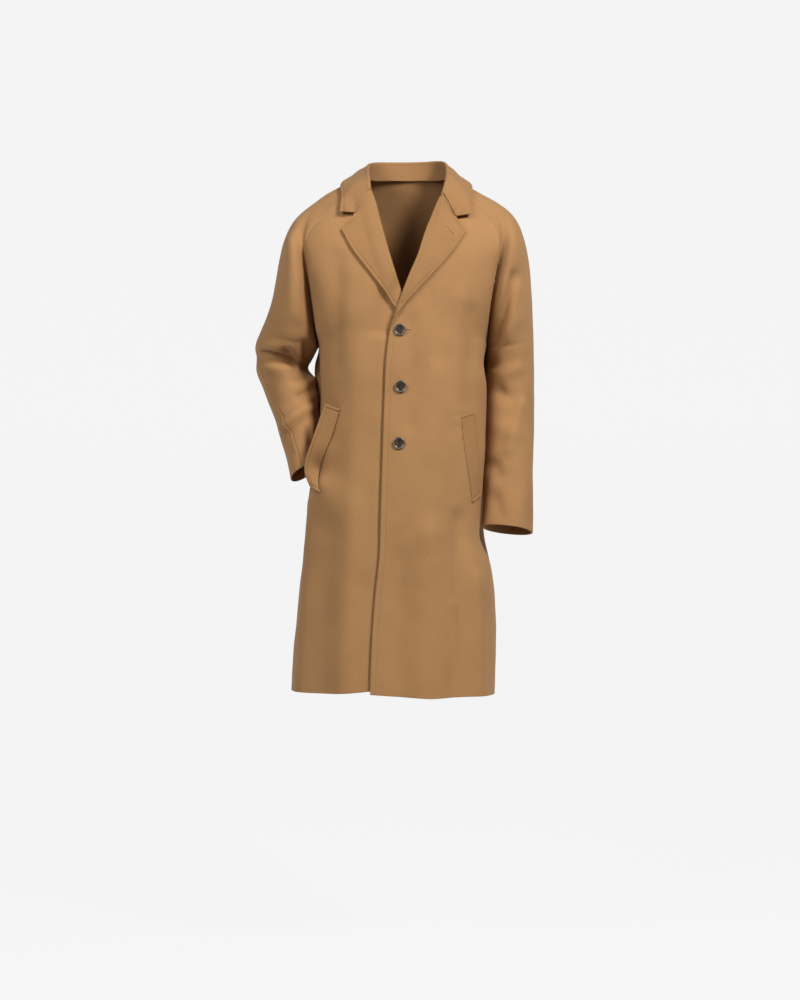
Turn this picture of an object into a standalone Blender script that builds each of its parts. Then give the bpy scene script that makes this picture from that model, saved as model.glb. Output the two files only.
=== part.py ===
"""A wool overcoat in a worn pose: single-breasted, raglan sleeves, notch lapels, two slanted welt pockets.

Metres, +Z up, the front of the coat towards -Y. The origin is the middle of the neck opening at shoulder level.
Each panel is a grid of points worked out from sections and seams. A section is a smooth curve between two seams.
"""

import bpy
import numpy as np
from mathutils import bvhtree, kdtree

CLOTH = 0.0025          # wall of one layer of coating wool
LAPEL_CLOTH = 0.0036    # lapel and collar: two layers pressed together
WELT_CLOTH = 0.0034
SEAM_INSET = 0.00022    # each panel stops this far short of its seam
UNDER_GAP = 0.0046      # the right front lies this far inside the left one
LAPEL_UNDER = 0.0060    # and this much more where the right lapel is between them
LAPEL_BACK = 0.0068     # the front stops this far short of the fold of its lapel
LAPEL_LIFT = 0.0044     # outer face of a lapel above the front under it
WELT_LIFT = 0.0038      # outer face of a welt above the front, at its seam
BUTTON_LIFT = 0.0003
HEM_Z = -1.060
NOTCH_SHARE = 0.50      # how far along the collar's front end the notch is
STAND_BELOW = 0.0064    # top of the collar stand below the crest of the fold
FALL_LIFT = 0.0060      # outer face of the collar above the shoulders
COLLAR_FULL = (0.003, 0.005)        # how far the fall swells out and up at the middle of its width
COLLAR_NOTCH_DOWN = -0.0250         # how far the front end of the collar is drawn down at the notch
COLLAR_NOTCH_IN = 0.004
COLLAR_END = 1.3        # the steps of the collar table over which its end takes that shape
WELT_SWELL = 0.003

# Where the right front goes under the left one: how far inside the left edge it starts, and over what width.
UNDER_START, UNDER_WIDTH = 0.066, 0.044
LAPEL_UNDER_START, LAPEL_UNDER_WIDTH = 0.045, 0.033
LAPEL_UNDER_LOW, LAPEL_UNDER_LOW_RUN = -0.335, 0.025    # height where the right lapel starts to lie between them
LAPEL_UNDER_TOP, LAPEL_UNDER_TOP_RUN = -0.190, 0.040    # and where it is clear of them
BREAK_Z, BREAK_RUN = -0.345, 0.030  # each front gives way to the fold of its lapel above this height
HEM_LEVEL_Z = -0.70     # below this height a panel is drawn to its hem line

SIDE_REACH = 0.60       # how flat the middle of a body section is
SLEEVE_BACK = 1.15      # back reach of a sleeve cap as a share of the front one
SLEEVE_LEAVE_BACK = (1.0, -0.9, 1.0)
ROUND = 4 / 3           # reach that makes half an ellipse of a cubic curve
SLEEVE_SPACING = 1.25   # above 1, sleeve columns are closer towards the raglan and underarm seams
SEAM_REACH = 0.12       # share of a panel's width over which folds fade out towards the raglan seam
FOLD_END, FOLD_START = 2.2, 0.4     # length of a fold's soft ends, in fold widths, and how much of one is outside it

BUTTON_RADIUS = 0.0125
BUTTON_THICK = 0.0042
BUTTON_SIDES = 28
HOLE_RADIUS = 0.0009
HOLE_AWAY = 0.0026
HOLE_SIDES = 8
BUTTON_DISH = 0.0026
BUTTON_CENTRE = 0.0024
BUTTON_PLACES = ((-0.0109, -0.3125), (-0.0096, -0.4278), (-0.0127, -0.5431))

RIGHT, LEFT = -1, 1     # the wearer's sides, as the sign of X


def table(names, rows):
    """A short table as one array for each named column."""
    return dict(zip(names.split(), np.array(rows, float).T))


# Body sections from hem to neck. turn, back: how far the front and back
# quarters swell past the side, in degrees. full: how square
# the section is. Above the underarm each section goes on to where the shoulder would be, and the raglan seam cuts it.
BODY = table(
    "z right_x left_x centre_x front_y back_y side_y right_turn left_turn right_back left_back full",
    [
        (-1.060, -0.2366, 0.1870, -0.0380, -0.1720, 0.1760, 0.010, 4, 4, 2, 2, 0.64),
        (-0.900, -0.2245, 0.1885, -0.0300, -0.1660, 0.1680, 0.010, 4, 4, 2, 2, 0.66),
        (-0.840, -0.2180, 0.1850, -0.0240, -0.1630, 0.1620, 0.010, 6, 6, 3, 3, 0.68),
        (-0.790, -0.2115, 0.1745, -0.0180, -0.1600, 0.1570, 0.012, 8, 10, 4, 14, 0.70),
        (-0.735, -0.2055, 0.1480, -0.0150, -0.1570, 0.1540, 0.015, 10, 18, 8, 46, 0.70),
        (-0.690, -0.2015, 0.1425, -0.0140, -0.1548, 0.1515, 0.017, 11, 28, 12, 54, 0.70),
        (-0.660, -0.1985, 0.1430, -0.0135, -0.1538, 0.1500, 0.018, 12, 30, 20, 56, 0.70),
        (-0.636, -0.1900, 0.1440, -0.0130, -0.1533, 0.1495, 0.019, 13, 31, 32, 56, 0.70),
        (-0.605, -0.1710, 0.1455, -0.0130, -0.1528, 0.1488, 0.020, 16, 32, 44, 56, 0.70),
        (-0.550, -0.1660, 0.1490, -0.0125, -0.1520, 0.1470, 0.020, 22, 32, 50, 56, 0.70),
        (-0.480, -0.1640, 0.1515, -0.0120, -0.1505, 0.1460, 0.020, 24, 31, 56, 54, 0.70),
        (-0.420, -0.1680, 0.1545, -0.0110, -0.1500, 0.1450, 0.020, 16, 27, 54, 50, 0.72),
        (-0.370, -0.1760, 0.1590, -0.0110, -0.1500, 0.1470, 0.020, 6, 12, 36, 40, 0.76),
        (-0.335, -0.1810, 0.1720, -0.0110, -0.1495, 0.1480, 0.020, 0, 0, 6, 6, 0.78),
        (-0.250, -0.1960, 0.1820, -0.0110, -0.1460, 0.1480, 0.020, 0, 0, 0, 0, 0.76),
        (-0.150, -0.2120, 0.2020, -0.0110, -0.1330, 0.1410, 0.020, 0, 0, 0, 0, 0.70),
        (-0.050, -0.1990, 0.2000, -0.0110, -0.0980, 0.1180, 0.014, 0, 0, 0, 0, 0.66),
        (-0.020, -0.1620, 0.1650, -0.0110, -0.0830, 0.1020, 0.012, 0, 0, 0, 0, 0.66),
        (0.003, -0.1240, 0.1260, -0.0110, -0.0720, 0.0880, 0.012, 0, 0, 0, 0, 0.66),
        (0.025, -0.0860, 0.0960, -0.0110, -0.0620, 0.0760, 0.012, 0, 0, 0, 0, 0.66),
    ],
)

# Raglan sleeve caps from neck to underarm: overarm seam, front and back raglan seam, how the sleeve leaves the
# front raglan seam (leave), and how far it reaches straight ahead of the overarm seam.
CAP_NAMES = (
    "step over_x over_y over_z front_x front_y front_z back_x back_y back_z leave_x leave_y leave_z over_reach"
)
CAP_RIGHT = table(
    CAP_NAMES,
    [
        (0, -0.088, 0.012, 0.020, -0.084, -0.046, 0.003, -0.062, 0.060, 0.022, -0.004, 0.020, 0.008, 0.020),
        (1, -0.123, 0.011, 0.003, -0.111, -0.056, -0.020, -0.090, 0.080, 0.000, -0.007, 0.024, 0.010, 0.026),
        (2, -0.157, 0.008, -0.015, -0.138, -0.066, -0.045, -0.120, 0.098, -0.030, -0.010, 0.026, 0.012, 0.034),
        (3, -0.188, 0.006, -0.036, -0.163, -0.076, -0.068, -0.146, 0.113, -0.062, -0.014, 0.024, 0.011, 0.044),
        (4, -0.2195, 0.004, -0.063, -0.187, -0.086, -0.094, -0.168, 0.124, -0.100, -0.020, 0.014, 0.009, 0.055),
        (5, -0.238, 0.004, -0.087, -0.2015, -0.092, -0.122, -0.184, 0.130, -0.135, -0.026, -0.006, 0.006, 0.064),
        (6, -0.252, 0.005, -0.118, -0.2045, -0.095, -0.150, -0.194, 0.131, -0.170, -0.030, -0.024, 0.003, 0.072),
        (7, -0.262, 0.008, -0.160, -0.2015, -0.092, -0.185, -0.196, 0.128, -0.208, -0.032, -0.036, 0.000, 0.080),
        (8, -0.2705, 0.011, -0.209, -0.1970, -0.084, -0.222, -0.193, 0.118, -0.248, -0.034, -0.046, 0.000, 0.088),
        (9, -0.281, 0.015, -0.250, -0.1920, -0.068, -0.262, -0.189, 0.098, -0.285, -0.034, -0.058, -0.002, 0.096),
        (10, -0.291, 0.018, -0.279, -0.1870, -0.036, -0.302, -0.185, 0.064, -0.315, -0.024, -0.082, -0.006, 0.104),
    ],
)
CAP_LEFT = table(
    CAP_NAMES,
    [
        (0, 0.098, 0.012, 0.020, 0.095, -0.046, 0.003, 0.066, 0.060, 0.022, 0.004, 0.020, 0.008, 0.020),
        (1, 0.128, 0.011, 0.000, 0.121, -0.056, -0.027, 0.092, 0.080, 0.000, 0.007, 0.024, 0.010, 0.026),
        (2, 0.160, 0.008, -0.018, 0.146, -0.066, -0.052, 0.120, 0.098, -0.030, 0.010, 0.026, 0.012, 0.034),
        (3, 0.191, 0.006, -0.037, 0.170, -0.077, -0.075, 0.146, 0.113, -0.062, 0.014, 0.024, 0.011, 0.044),
        (4, 0.219, 0.004, -0.058, 0.188, -0.086, -0.098, 0.168, 0.124, -0.100, 0.020, 0.014, 0.009, 0.055),
        (5, 0.238, 0.004, -0.086, 0.1965, -0.092, -0.123, 0.183, 0.130, -0.135, 0.026, -0.006, 0.006, 0.064),
        (6, 0.2505, 0.005, -0.123, 0.1950, -0.096, -0.153, 0.192, 0.131, -0.170, 0.030, -0.024, 0.003, 0.072),
        (7, 0.2585, 0.008, -0.165, 0.1890, -0.092, -0.188, 0.193, 0.128, -0.208, 0.032, -0.036, 0.000, 0.080),
        (8, 0.263, 0.012, -0.212, 0.1825, -0.084, -0.226, 0.189, 0.118, -0.248, 0.034, -0.044, 0.000, 0.086),
        (9, 0.2665, 0.015, -0.256, 0.1770, -0.066, -0.265, 0.183, 0.098, -0.285, 0.034, -0.054, -0.002, 0.090),
        (10, 0.268, 0.018, -0.292, 0.1735, -0.032, -0.303, 0.178, 0.064, -0.315, 0.022, -0.076, -0.006, 0.092),
    ],
)
CAP_STEPS = 11          # the next step after the last row of a cap is the underarm

# Sleeve rings from underarm to cuff. tilt: front edge raised. lean: outer edge raised. seam: overarm seam turned to
# the front. All three in degrees.
RING_NAMES = "step x y z half_width half_depth tilt lean seam"
RINGS_RIGHT = table(
    RING_NAMES,
    [
        (12, -0.2555, 0.036, -0.352, 0.0600, 0.0780, -6, 12, 5),
        (13, -0.2585, 0.046, -0.386, 0.0550, 0.0700, 4, 2, 40),
        (14, -0.2440, 0.034, -0.421, 0.0540, 0.0640, 12, -4, 32),
        (15, -0.2320, 0.018, -0.457, 0.0500, 0.0600, 18, -10, 34),
        (16, -0.2262, -0.002, -0.503, 0.0395, 0.0580, 20, -16, 56),
        (17, -0.2180, -0.018, -0.553, 0.0335, 0.0560, 16, -22, 74),
        (18, -0.2120, -0.030, -0.603, 0.0295, 0.0550, 12, -27, 86),
    ],
)
RINGS_LEFT = table(
    RING_NAMES,
    [
        (12, 0.2205, 0.025, -0.372, 0.0490, 0.0730, -3, 4, 0),
        (13, 0.2200, 0.028, -0.420, 0.0495, 0.0700, 2, 2, 2),
        (14, 0.2190, 0.018, -0.480, 0.0510, 0.0660, 6, 0, 4),
        (15, 0.2170, 0.004, -0.540, 0.0510, 0.0620, 8, -2, 6),
        (16, 0.2155, -0.008, -0.600, 0.0515, 0.0590, 9, -4, 8),
        (17, 0.2145, -0.020, -0.660, 0.0515, 0.0565, 10, -6, 10),
        (18, 0.2120, -0.032, -0.722, 0.0535, 0.0550, 10, -7, 12),
    ],
)
UNDERARM = {RIGHT: (-0.181, 0.020, -0.335), LEFT: (0.172, 0.020, -0.335)}
UNDERARM_RING = {RIGHT: (0.062, 0.084, 15, -8), LEFT: (0.0485, 0.078, 6, -6)}   # half width, half depth, lean, tilt

# Height of the hem along each panel.
HEM_RIGHT = table("x z", [(-0.237, -1.0540), (-0.180, -1.0525), (-0.130, -1.0515), (-0.070, -1.0460), (0.010, -1.0440)])
HEM_LEFT = table("x z", [(-0.075, -1.0520), (0.000, -1.0575), (0.050, -1.0610), (0.120, -1.0600), (0.187, -1.0620)])
HEM_BACK = table("x z", [(-0.237, -1.0540), (-0.120, -1.0590), (0.000, -1.0610), (0.100, -1.0620), (0.187, -1.0620)])

# Inner edge of each front: the front edge up to the break of the lapel, then the roll line.
EDGE_LEFT = table(
    "z x",
    [
        (-1.060, -0.0710), (-0.937, -0.0664), (-0.852, -0.0602), (-0.769, -0.0519), (-0.707, -0.0499),
        (-0.624, -0.0477), (-0.559, -0.0457), (-0.456, -0.0422), (-0.363, -0.0376), (-0.335, -0.0345),
        (-0.306, -0.0287), (-0.234, -0.0054), (-0.193, 0.0104), (-0.163, 0.0235), (-0.109, 0.0411),
        (-0.085, 0.0504), (-0.054, 0.0625), (-0.029, 0.0730), (0.003, 0.0828),
    ],
)
EDGE_RIGHT = table(
    "z x",
    [
        (-1.060, 0.0060), (-0.900, 0.0120), (-0.700, 0.0190), (-0.500, 0.0210), (-0.360, 0.0210),
        (-0.325, 0.0195), (-0.297, 0.0140), (-0.2347, -0.0064), (-0.171, -0.0267), (-0.085, -0.0503),
        (-0.054, -0.0576), (-0.020, -0.0680), (0.003, -0.0712),
    ],
)

# Outer outline of each lapel, upwards: edge, tip, notch, gorge.
LAPEL_OUT_RIGHT = table(
    "z x",
    [
        (-0.2960, 0.0120), (-0.2716, -0.0163), (-0.2331, -0.0431), (-0.1911, -0.0754), (-0.1515, -0.1055),
        (-0.1071, -0.1300), (-0.0769, -0.1050), (-0.0732, -0.1040), (-0.0215, -0.0725),
    ],
)
LAPEL_OUT_LEFT = table(
    "z x",
    [
        (-0.3060, -0.0310), (-0.2707, -0.0080), (-0.2361, 0.0221), (-0.1982, 0.0570), (-0.1583, 0.0919),
        (-0.1123, 0.1234), (-0.0835, 0.1050), (-0.0800, 0.1040), (-0.0315, 0.0770),
    ],
)

# Section of a lapel from its roll line to its outer edge: share of the width, and height above the front.
LAPEL_SECTION = ((0, -0.0036), (0.02, -0.0005), (0.09, LAPEL_LIFT + 0.0010), (1, LAPEL_LIFT))
LAPEL_TUCK = 0.0007     # how far the second column is from the roll line

# Collar from the right gorge round the back to the left gorge: crest (fold), outer edge of the fall, neck seam.
COLLAR = table(
    "step crest_x crest_y crest_z edge_x edge_y edge_z seam_x seam_y seam_z",
    [
        (0, -0.0695, -0.080, -0.0165, -0.1340, -0.0985, -0.0665, -0.0740, -0.068, -0.008),
        (1, -0.0722, -0.052, 0.012, -0.1315, -0.0480, -0.0330, -0.0780, -0.046, 0.0040),
        (2, -0.0745, -0.016, 0.036, -0.1255, -0.0080, -0.0050, -0.0840, -0.012, 0.0175),
        (3, -0.0705, 0.018, 0.047, -0.1160, 0.0360, 0.0090, -0.0800, 0.026, 0.027),
        (4, -0.0560, 0.047, 0.0535, -0.0880, 0.0800, 0.0080, -0.0610, 0.060, 0.029),
        (5, -0.0315, 0.065, 0.056, -0.0470, 0.1040, 0.0020, -0.0310, 0.072, 0.031),
        (6, 0.0040, 0.072, 0.057, 0.0030, 0.1110, 0.0000, 0.0040, 0.076, 0.031),
        (7, 0.0395, 0.065, 0.057, 0.0540, 0.1030, 0.0020, 0.0380, 0.071, 0.031),
        (8, 0.0645, 0.046, 0.056, 0.0960, 0.0790, 0.0070, 0.0690, 0.057, 0.029),
        (9, 0.0795, 0.014, 0.0495, 0.1220, 0.0340, 0.0070, 0.0880, 0.024, 0.027),
        (10, 0.0850, -0.018, 0.033, 0.1335, -0.0080, -0.0110, 0.0930, -0.012, 0.0175),
        (11, 0.0815, -0.052, 0.004, 0.1385, -0.0480, -0.0400, 0.0885, -0.046, 0.0040),
        (12, 0.0740, -0.083, -0.0265, 0.1344, -0.1000, -0.0715, 0.0800, -0.068, -0.014),
    ],
)

COLLAR_STEPS = 12
STAND_STEPS = (1.2, 10.8)

# Section of the fold of the collar: outwards from the crest, and up.
COLLAR_FOLD = ((0.0, -0.0045), (0.0002, -0.0008), (0.0040, 0.0012), (0.0092, -0.0040))

# Pocket welts from top to bottom: seam on the front, and free edge.
WELT_RIGHT = table(
    "step seam_x seam_z edge_x edge_y edge_z",
    [
        (0, -0.1300, -0.4660, -0.1630, -0.1080, -0.4580),
        (1, -0.1450, -0.5160, -0.1805, -0.1120, -0.4960),
        (2, -0.1590, -0.5600, -0.1975, -0.1120, -0.5380),
        (3, -0.1670, -0.5930, -0.2055, -0.1110, -0.5720),
        (4, -0.1690, -0.6200, -0.2040, -0.1060, -0.6000),
        (5, -0.1680, -0.6430, -0.1930, -0.0980, -0.6290),
    ],
)
WELT_LEFT = table(
    "step seam_x seam_z edge_x edge_z",
    [
        (0, 0.1120, -0.4870, 0.1400, -0.4760),
        (1, 0.1180, -0.5300, 0.1480, -0.5150),
        (2, 0.1240, -0.5750, 0.1530, -0.5700),
        (3, 0.1310, -0.6200, 0.1560, -0.6150),
        (4, 0.1370, -0.6650, 0.1550, -0.6480),
    ],
)

# Folds. x, z: ends as seen from the front or back. raise: height of a ridge, or depth of a trough below 0.
FOLD_NAMES = "x0 z0 x1 z1 width raise"
FRONT_FOLDS = table(
    FOLD_NAMES,
    [
        (-0.132, -0.130, -0.126, -0.420, 0.017, -0.0060),
        (-0.083, -0.280, -0.088, -1.020, 0.026, 0.0050),
        (-0.150, -0.620, -0.160, -1.060, 0.034, -0.0120),
        (-0.166, -0.640, -0.158, -0.760, 0.020, -0.0090),
        (-0.200, -0.700, -0.205, -1.060, 0.016, 0.0050),
        (0.034, -0.280, 0.030, -0.520, 0.014, -0.0035),
        (0.032, -0.640, 0.024, -1.060, 0.024, -0.0070),
        (0.108, -0.240, 0.094, -0.500, 0.022, 0.0045),
        (0.078, -0.440, 0.082, -0.860, 0.026, 0.0055),
        (0.130, -0.300, 0.128, -0.480, 0.016, -0.0045),
        (0.130, -0.700, 0.128, -1.060, 0.020, -0.0080),
        (0.101, -0.860, 0.113, -1.060, 0.012, 0.0050),
        (0.160, -0.860, 0.166, -1.060, 0.013, 0.0050),
    ],
)
BACK_FOLDS = table(
    FOLD_NAMES,
    [
        (-0.060, -0.420, -0.075, -1.060, 0.028, -0.0090),
        (0.055, -0.380, 0.070, -1.060, 0.030, -0.0100),
        (-0.135, -0.520, -0.160, -1.060, 0.026, 0.0080),
        (0.130, -0.500, 0.145, -1.060, 0.026, 0.0080),
        (0.000, -0.600, -0.005, -1.060, 0.026, 0.0070),
        (-0.120, -0.140, -0.110, -0.380, 0.020, -0.0060),
        (0.120, -0.140, 0.108, -0.400, 0.020, -0.0060),
    ],
)
SLEEVE_FRONT_FOLDS = table(
    FOLD_NAMES,
    [
        (-0.217, -0.120, -0.207, -0.350, 0.011, -0.0150),
        (-0.238, -0.110, -0.225, -0.290, 0.016, 0.0050),
        (-0.310, -0.352, -0.230, -0.362, 0.013, -0.0080),
        (-0.312, -0.378, -0.240, -0.398, 0.014, 0.0045),
        (-0.262, -0.514, -0.192, -0.462, 0.013, 0.0050),
        (-0.250, -0.470, -0.210, -0.435, 0.013, -0.0045),
        (0.2065, -0.120, 0.193, -0.300, 0.011, -0.0140),
        (0.238, -0.180, 0.182, -0.348, 0.014, -0.0060),
        (0.240, -0.270, 0.200, -0.340, 0.016, 0.0050),
        (0.190, -0.390, 0.250, -0.394, 0.014, 0.0050),
        (0.186, -0.430, 0.232, -0.452, 0.014, -0.0080),
        (0.172, -0.580, 0.204, -0.620, 0.016, -0.0080),
        (0.186, -0.500, 0.240, -0.530, 0.018, 0.0040),
    ],
)
SLEEVE_BACK_FOLDS = table(
    FOLD_NAMES,
    [
        (-0.310, -0.330, -0.240, -0.350, 0.012, -0.0060),
        (-0.300, -0.420, -0.230, -0.400, 0.012, 0.0050),
        (0.250, -0.360, 0.190, -0.380, 0.012, -0.0060),
        (0.255, -0.430, 0.190, -0.460, 0.014, 0.0050),
        (0.240, -0.600, 0.190, -0.560, 0.014, -0.0050),
    ],
)


def smooth(x, y, at):
    """Cubic pieces through the points (x, y), at the places `at`."""
    x, y, at = np.asarray(x, float), np.asarray(y, float), np.asarray(at, float)
    wide = (1,) * (y.ndim - 1)
    gap = np.diff(x).reshape((-1,) + wide)
    rise = np.diff(y, axis=0) / gap
    slope = np.empty_like(y)
    slope[1:-1] = (rise[:-1] * gap[1:] + rise[1:] * gap[:-1]) / (gap[1:] + gap[:-1])
    slope[0] = 1.5 * rise[0] - 0.5 * slope[1]
    slope[-1] = 1.5 * rise[-1] - 0.5 * slope[-2]
    i = np.clip(np.searchsorted(x, at) - 1, 0, len(x) - 2)
    h = (x[i + 1] - x[i]).reshape(at.shape + wide)
    t = np.clip((at - x[i]) / (x[i + 1] - x[i]), 0, 1).reshape(at.shape + wide)
    near = y[i] * (1 + 2 * t) * (1 - t) ** 2 + slope[i] * h * t * (1 - t) ** 2
    return near + y[i + 1] * t * t * (3 - 2 * t) + slope[i + 1] * h * t * t * (t - 1)


def column(data, name, at, key="z"):
    return smooth(data[key], data[name], np.atleast_1d(at))


def point_columns(data, stem):
    return np.stack([data[f"{stem}_{axis}"] for axis in "xyz"], axis=1)


def bezier(p0, p1, p2, p3, t):
    t = np.asarray(t, float)[:, None]
    return p0 * (1 - t) ** 3 + 3 * p1 * t * (1 - t) ** 2 + 3 * p2 * t * t * (1 - t) + p3 * t**3


def ease(x):
    x = np.clip(x, 0, 1)
    return x * x * (3 - 2 * x)


def unit(v):
    return v / np.maximum(np.linalg.norm(v, axis=-1, keepdims=True), 1e-12)


# ---- Sleeve seams


def ring_of(centre, half_width, half_depth, tilt, lean, seam, side):
    """Overarm point, underarm point and front reach of one sleeve ring."""
    tilt, lean, seam = np.radians((tilt, lean, seam))
    out = np.array([side * np.cos(lean), 0, np.sin(lean)])
    ahead = np.array([0, -np.cos(tilt), np.sin(tilt)])
    arm = half_width * np.cos(seam) * out + half_depth * np.sin(seam) * ahead
    reach = -half_width * np.sin(seam) * out + half_depth * np.cos(seam) * ahead
    return centre + arm, centre - arm, reach


def sleeve_tables(side):
    """Rows over, front, back, and the four reaches, for every step from neck to cuff."""
    cap = CAP_RIGHT if side == RIGHT else CAP_LEFT
    rings = RINGS_RIGHT if side == RIGHT else RINGS_LEFT
    over, front, back = (point_columns(cap, stem) for stem in ("over", "front", "back"))
    leave = point_columns(cap, "leave")
    slope = unit(np.gradient(over, axis=0))
    straight = np.array([0.0, -1, 0]) - slope * -slope[:, 1:2]
    over_front = unit(straight) * cap["over_reach"][:, None]
    over_back = -over_front * SLEEVE_BACK
    leave_back = leave * SLEEVE_LEAVE_BACK
    rows = [list(r) for r in zip(over, front, back, over_front, over_back, leave, leave_back)]
    under = np.array(UNDERARM[side])
    half_width, half_depth, lean, tilt = UNDERARM_RING[side]
    centre = under + half_width * np.array([side * np.cos(np.radians(lean)), 0, np.sin(np.radians(lean))])
    made = [ring_of(centre, half_width, half_depth, tilt, lean, 0, side)]
    for k in range(len(rings["step"])):
        middle = np.array([rings["x"][k], rings["y"][k], rings["z"][k]])
        sizes = [rings[name][k] for name in ("half_width", "half_depth", "tilt", "lean", "seam")]
        made.append(ring_of(middle, *sizes, side))
    for top, low, reach in made:
        ahead = reach * ROUND
        rows.append([top, low, low, ahead, -ahead, ahead, -ahead])
    return np.array(rows)       # steps x 7 x 3


SLEEVE = {side: sleeve_tables(side) for side in (RIGHT, LEFT)}
LAST_STEP = CAP_STEPS + 7


def sleeve_at(side, step):
    rows, step = SLEEVE[side], np.atleast_1d(step)
    found = smooth(np.arange(len(rows)), rows, step)
    # The two raglan seams meet at the underarm and go on as one seam.
    cap, low = rows[:CAP_STEPS + 1, 1:3], rows[CAP_STEPS:, 1:3]
    above = step <= CAP_STEPS
    found[above, 1:3] = smooth(np.arange(CAP_STEPS + 1), cap, step[above])
    found[~above, 1:3] = smooth(np.arange(CAP_STEPS, len(rows)), low, step[~above])
    return found


def raglan_fine(side, which):
    step = np.linspace(0, CAP_STEPS, 3000)
    return step, sleeve_at(side, step)[:, which]


FINE = {(side, which): raglan_fine(side, which) for side in (RIGHT, LEFT) for which in (1, 2)}


def whole_section(side, z, back):
    """Four control points of a half section that goes right round to the side, for heights z."""
    name = "right" if side == RIGHT else "left"
    mid = np.stack([column(BODY, "centre_x", z), column(BODY, "back_y" if back else "front_y", z), z], axis=1)
    end = np.stack([column(BODY, f"{name}_x", z), column(BODY, "side_y", z), z], axis=1)
    turn = np.radians(column(BODY, f"{name}_back" if back else f"{name}_turn", z))
    direction = np.stack([side * np.sin(turn), np.cos(turn) * (1 if back else -1), 0 * turn], axis=1)
    across, deep = np.abs(end[:, 0] - mid[:, 0]), np.abs(end[:, 1] - mid[:, 1])
    p1 = mid + np.stack([side * SIDE_REACH * across, 0 * z, 0 * z], axis=1)
    return mid, p1, end + direction * (column(BODY, "full", z) * deep)[:, None], end


def half_section(side, z, back=False):
    """Four control points of the front or back half section on one side, for heights z."""
    z = np.atleast_1d(z)
    p0, p1, p2, p3 = whole_section(side, z, back)
    which = 2 if back else 1
    steps, seam_line = FINE[side, which]
    share = np.linspace(0.2, 1, 801)
    for k in np.flatnonzero(z > UNDERARM[side][2]):
        step = np.interp(-z[k], -seam_line[:, 2], steps)
        seam = sleeve_at(side, step)[0, which]
        line = bezier(p0[k], p1[k], p2[k], p3[k], share)
        t = share[np.linalg.norm((line - seam)[:, :2], axis=1).argmin()]
        # The section is cut at its nearest point to the raglan seam, then moved to meet it.
        a, b, c = (u + (v - u) * t for u, v in ((p0[k], p1[k]), (p1[k], p2[k]), (p2[k], p3[k])))
        d, e = a + (b - a) * t, b + (c - b) * t
        p1[k], p2[k], p3[k] = a, d + seam - (d + (e - d) * t), seam
    return p0, p1, p2, p3


def front_section(z, count=400):
    """The whole front section at height z, from the wearer's right to left."""
    t = np.linspace(0, 1, count)
    halves = []
    for side in (RIGHT, LEFT):
        p0, p1, p2, p3 = (p[0] for p in half_section(side, z))
        halves.append(bezier(p0, p1, p2, p3, t))
    return np.concatenate([halves[0][::-1], halves[1][1:]]), np.linspace(-1, 1, 2 * count - 1)


def front_y(x, z):
    """Depth of the front at (x, z), before folds."""
    x, z = np.broadcast_arrays(np.asarray(x, float), np.asarray(z, float))
    found = np.empty(x.shape)
    for height in np.unique(z):
        line, _ = front_section(height)
        first, last = line[:, 0].argmin(), line[:, 0].argmax()
        part = line[min(first, last):max(first, last) + 1]
        at = z == height
        found[at] = np.interp(x[at], part[:, 0], part[:, 1])
    return found


def front_normal(x, z, step=0.002):
    across = (front_y(x + step, z) - front_y(x - step, z)) / (2 * step)
    along = (front_y(x, z + step) - front_y(x, z - step)) / (2 * step)
    return unit(np.stack([across, -np.ones_like(across), along], axis=-1))


# ---- Folds


def fold_height(points, folds, faces):
    """Height of the folds at points, where faces is how much each point faces the fold's side, 0 to 1."""
    total = np.zeros(points.shape[:-1])
    flat = points[..., [0, 2]]
    for x0, z0, x1, z1, width, up in zip(*(folds[name] for name in FOLD_NAMES.split())):
        start, run = np.array([x0, z0]), np.array([x1 - x0, z1 - z0])
        t = ((flat - start) @ run) / (run @ run)
        away = np.linalg.norm(flat - start - np.clip(t, 0, 1)[..., None] * run, axis=-1)
        length = np.sqrt(run @ run)
        ends = ease(t * length / (FOLD_END * width) + FOLD_START) if z0 > HEM_Z else 1
        far = ease((1 - t) * length / (FOLD_END * width) + FOLD_START) if z1 > HEM_Z + 0.001 else 1
        total = total + up * np.exp(-((away / width) ** 2)) * ends * far
    return total * faces


def facing(normals, back=False):
    return ease((normals[..., 1] if back else -normals[..., 1]) * 1.6 + 0.1)


# ---- Panels: grids of points, rows along the garment, columns across it


def front_layer(x, z, lapel=False):
    """How far the right front, or the right lapel on it, lies inside the common front surface."""
    left_edge = column(EDGE_LEFT, "x", z)
    start, width = (LAPEL_UNDER_START, LAPEL_UNDER_WIDTH) if lapel else (UNDER_START, UNDER_WIDTH)
    cover = ease((x - (left_edge - start)) / width)
    with_lapel = ease((z - LAPEL_UNDER_LOW) / LAPEL_UNDER_LOW_RUN) * ease((LAPEL_UNDER_TOP - z) / LAPEL_UNDER_TOP_RUN)
    return cover * (UNDER_GAP + with_lapel * LAPEL_UNDER)


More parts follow.
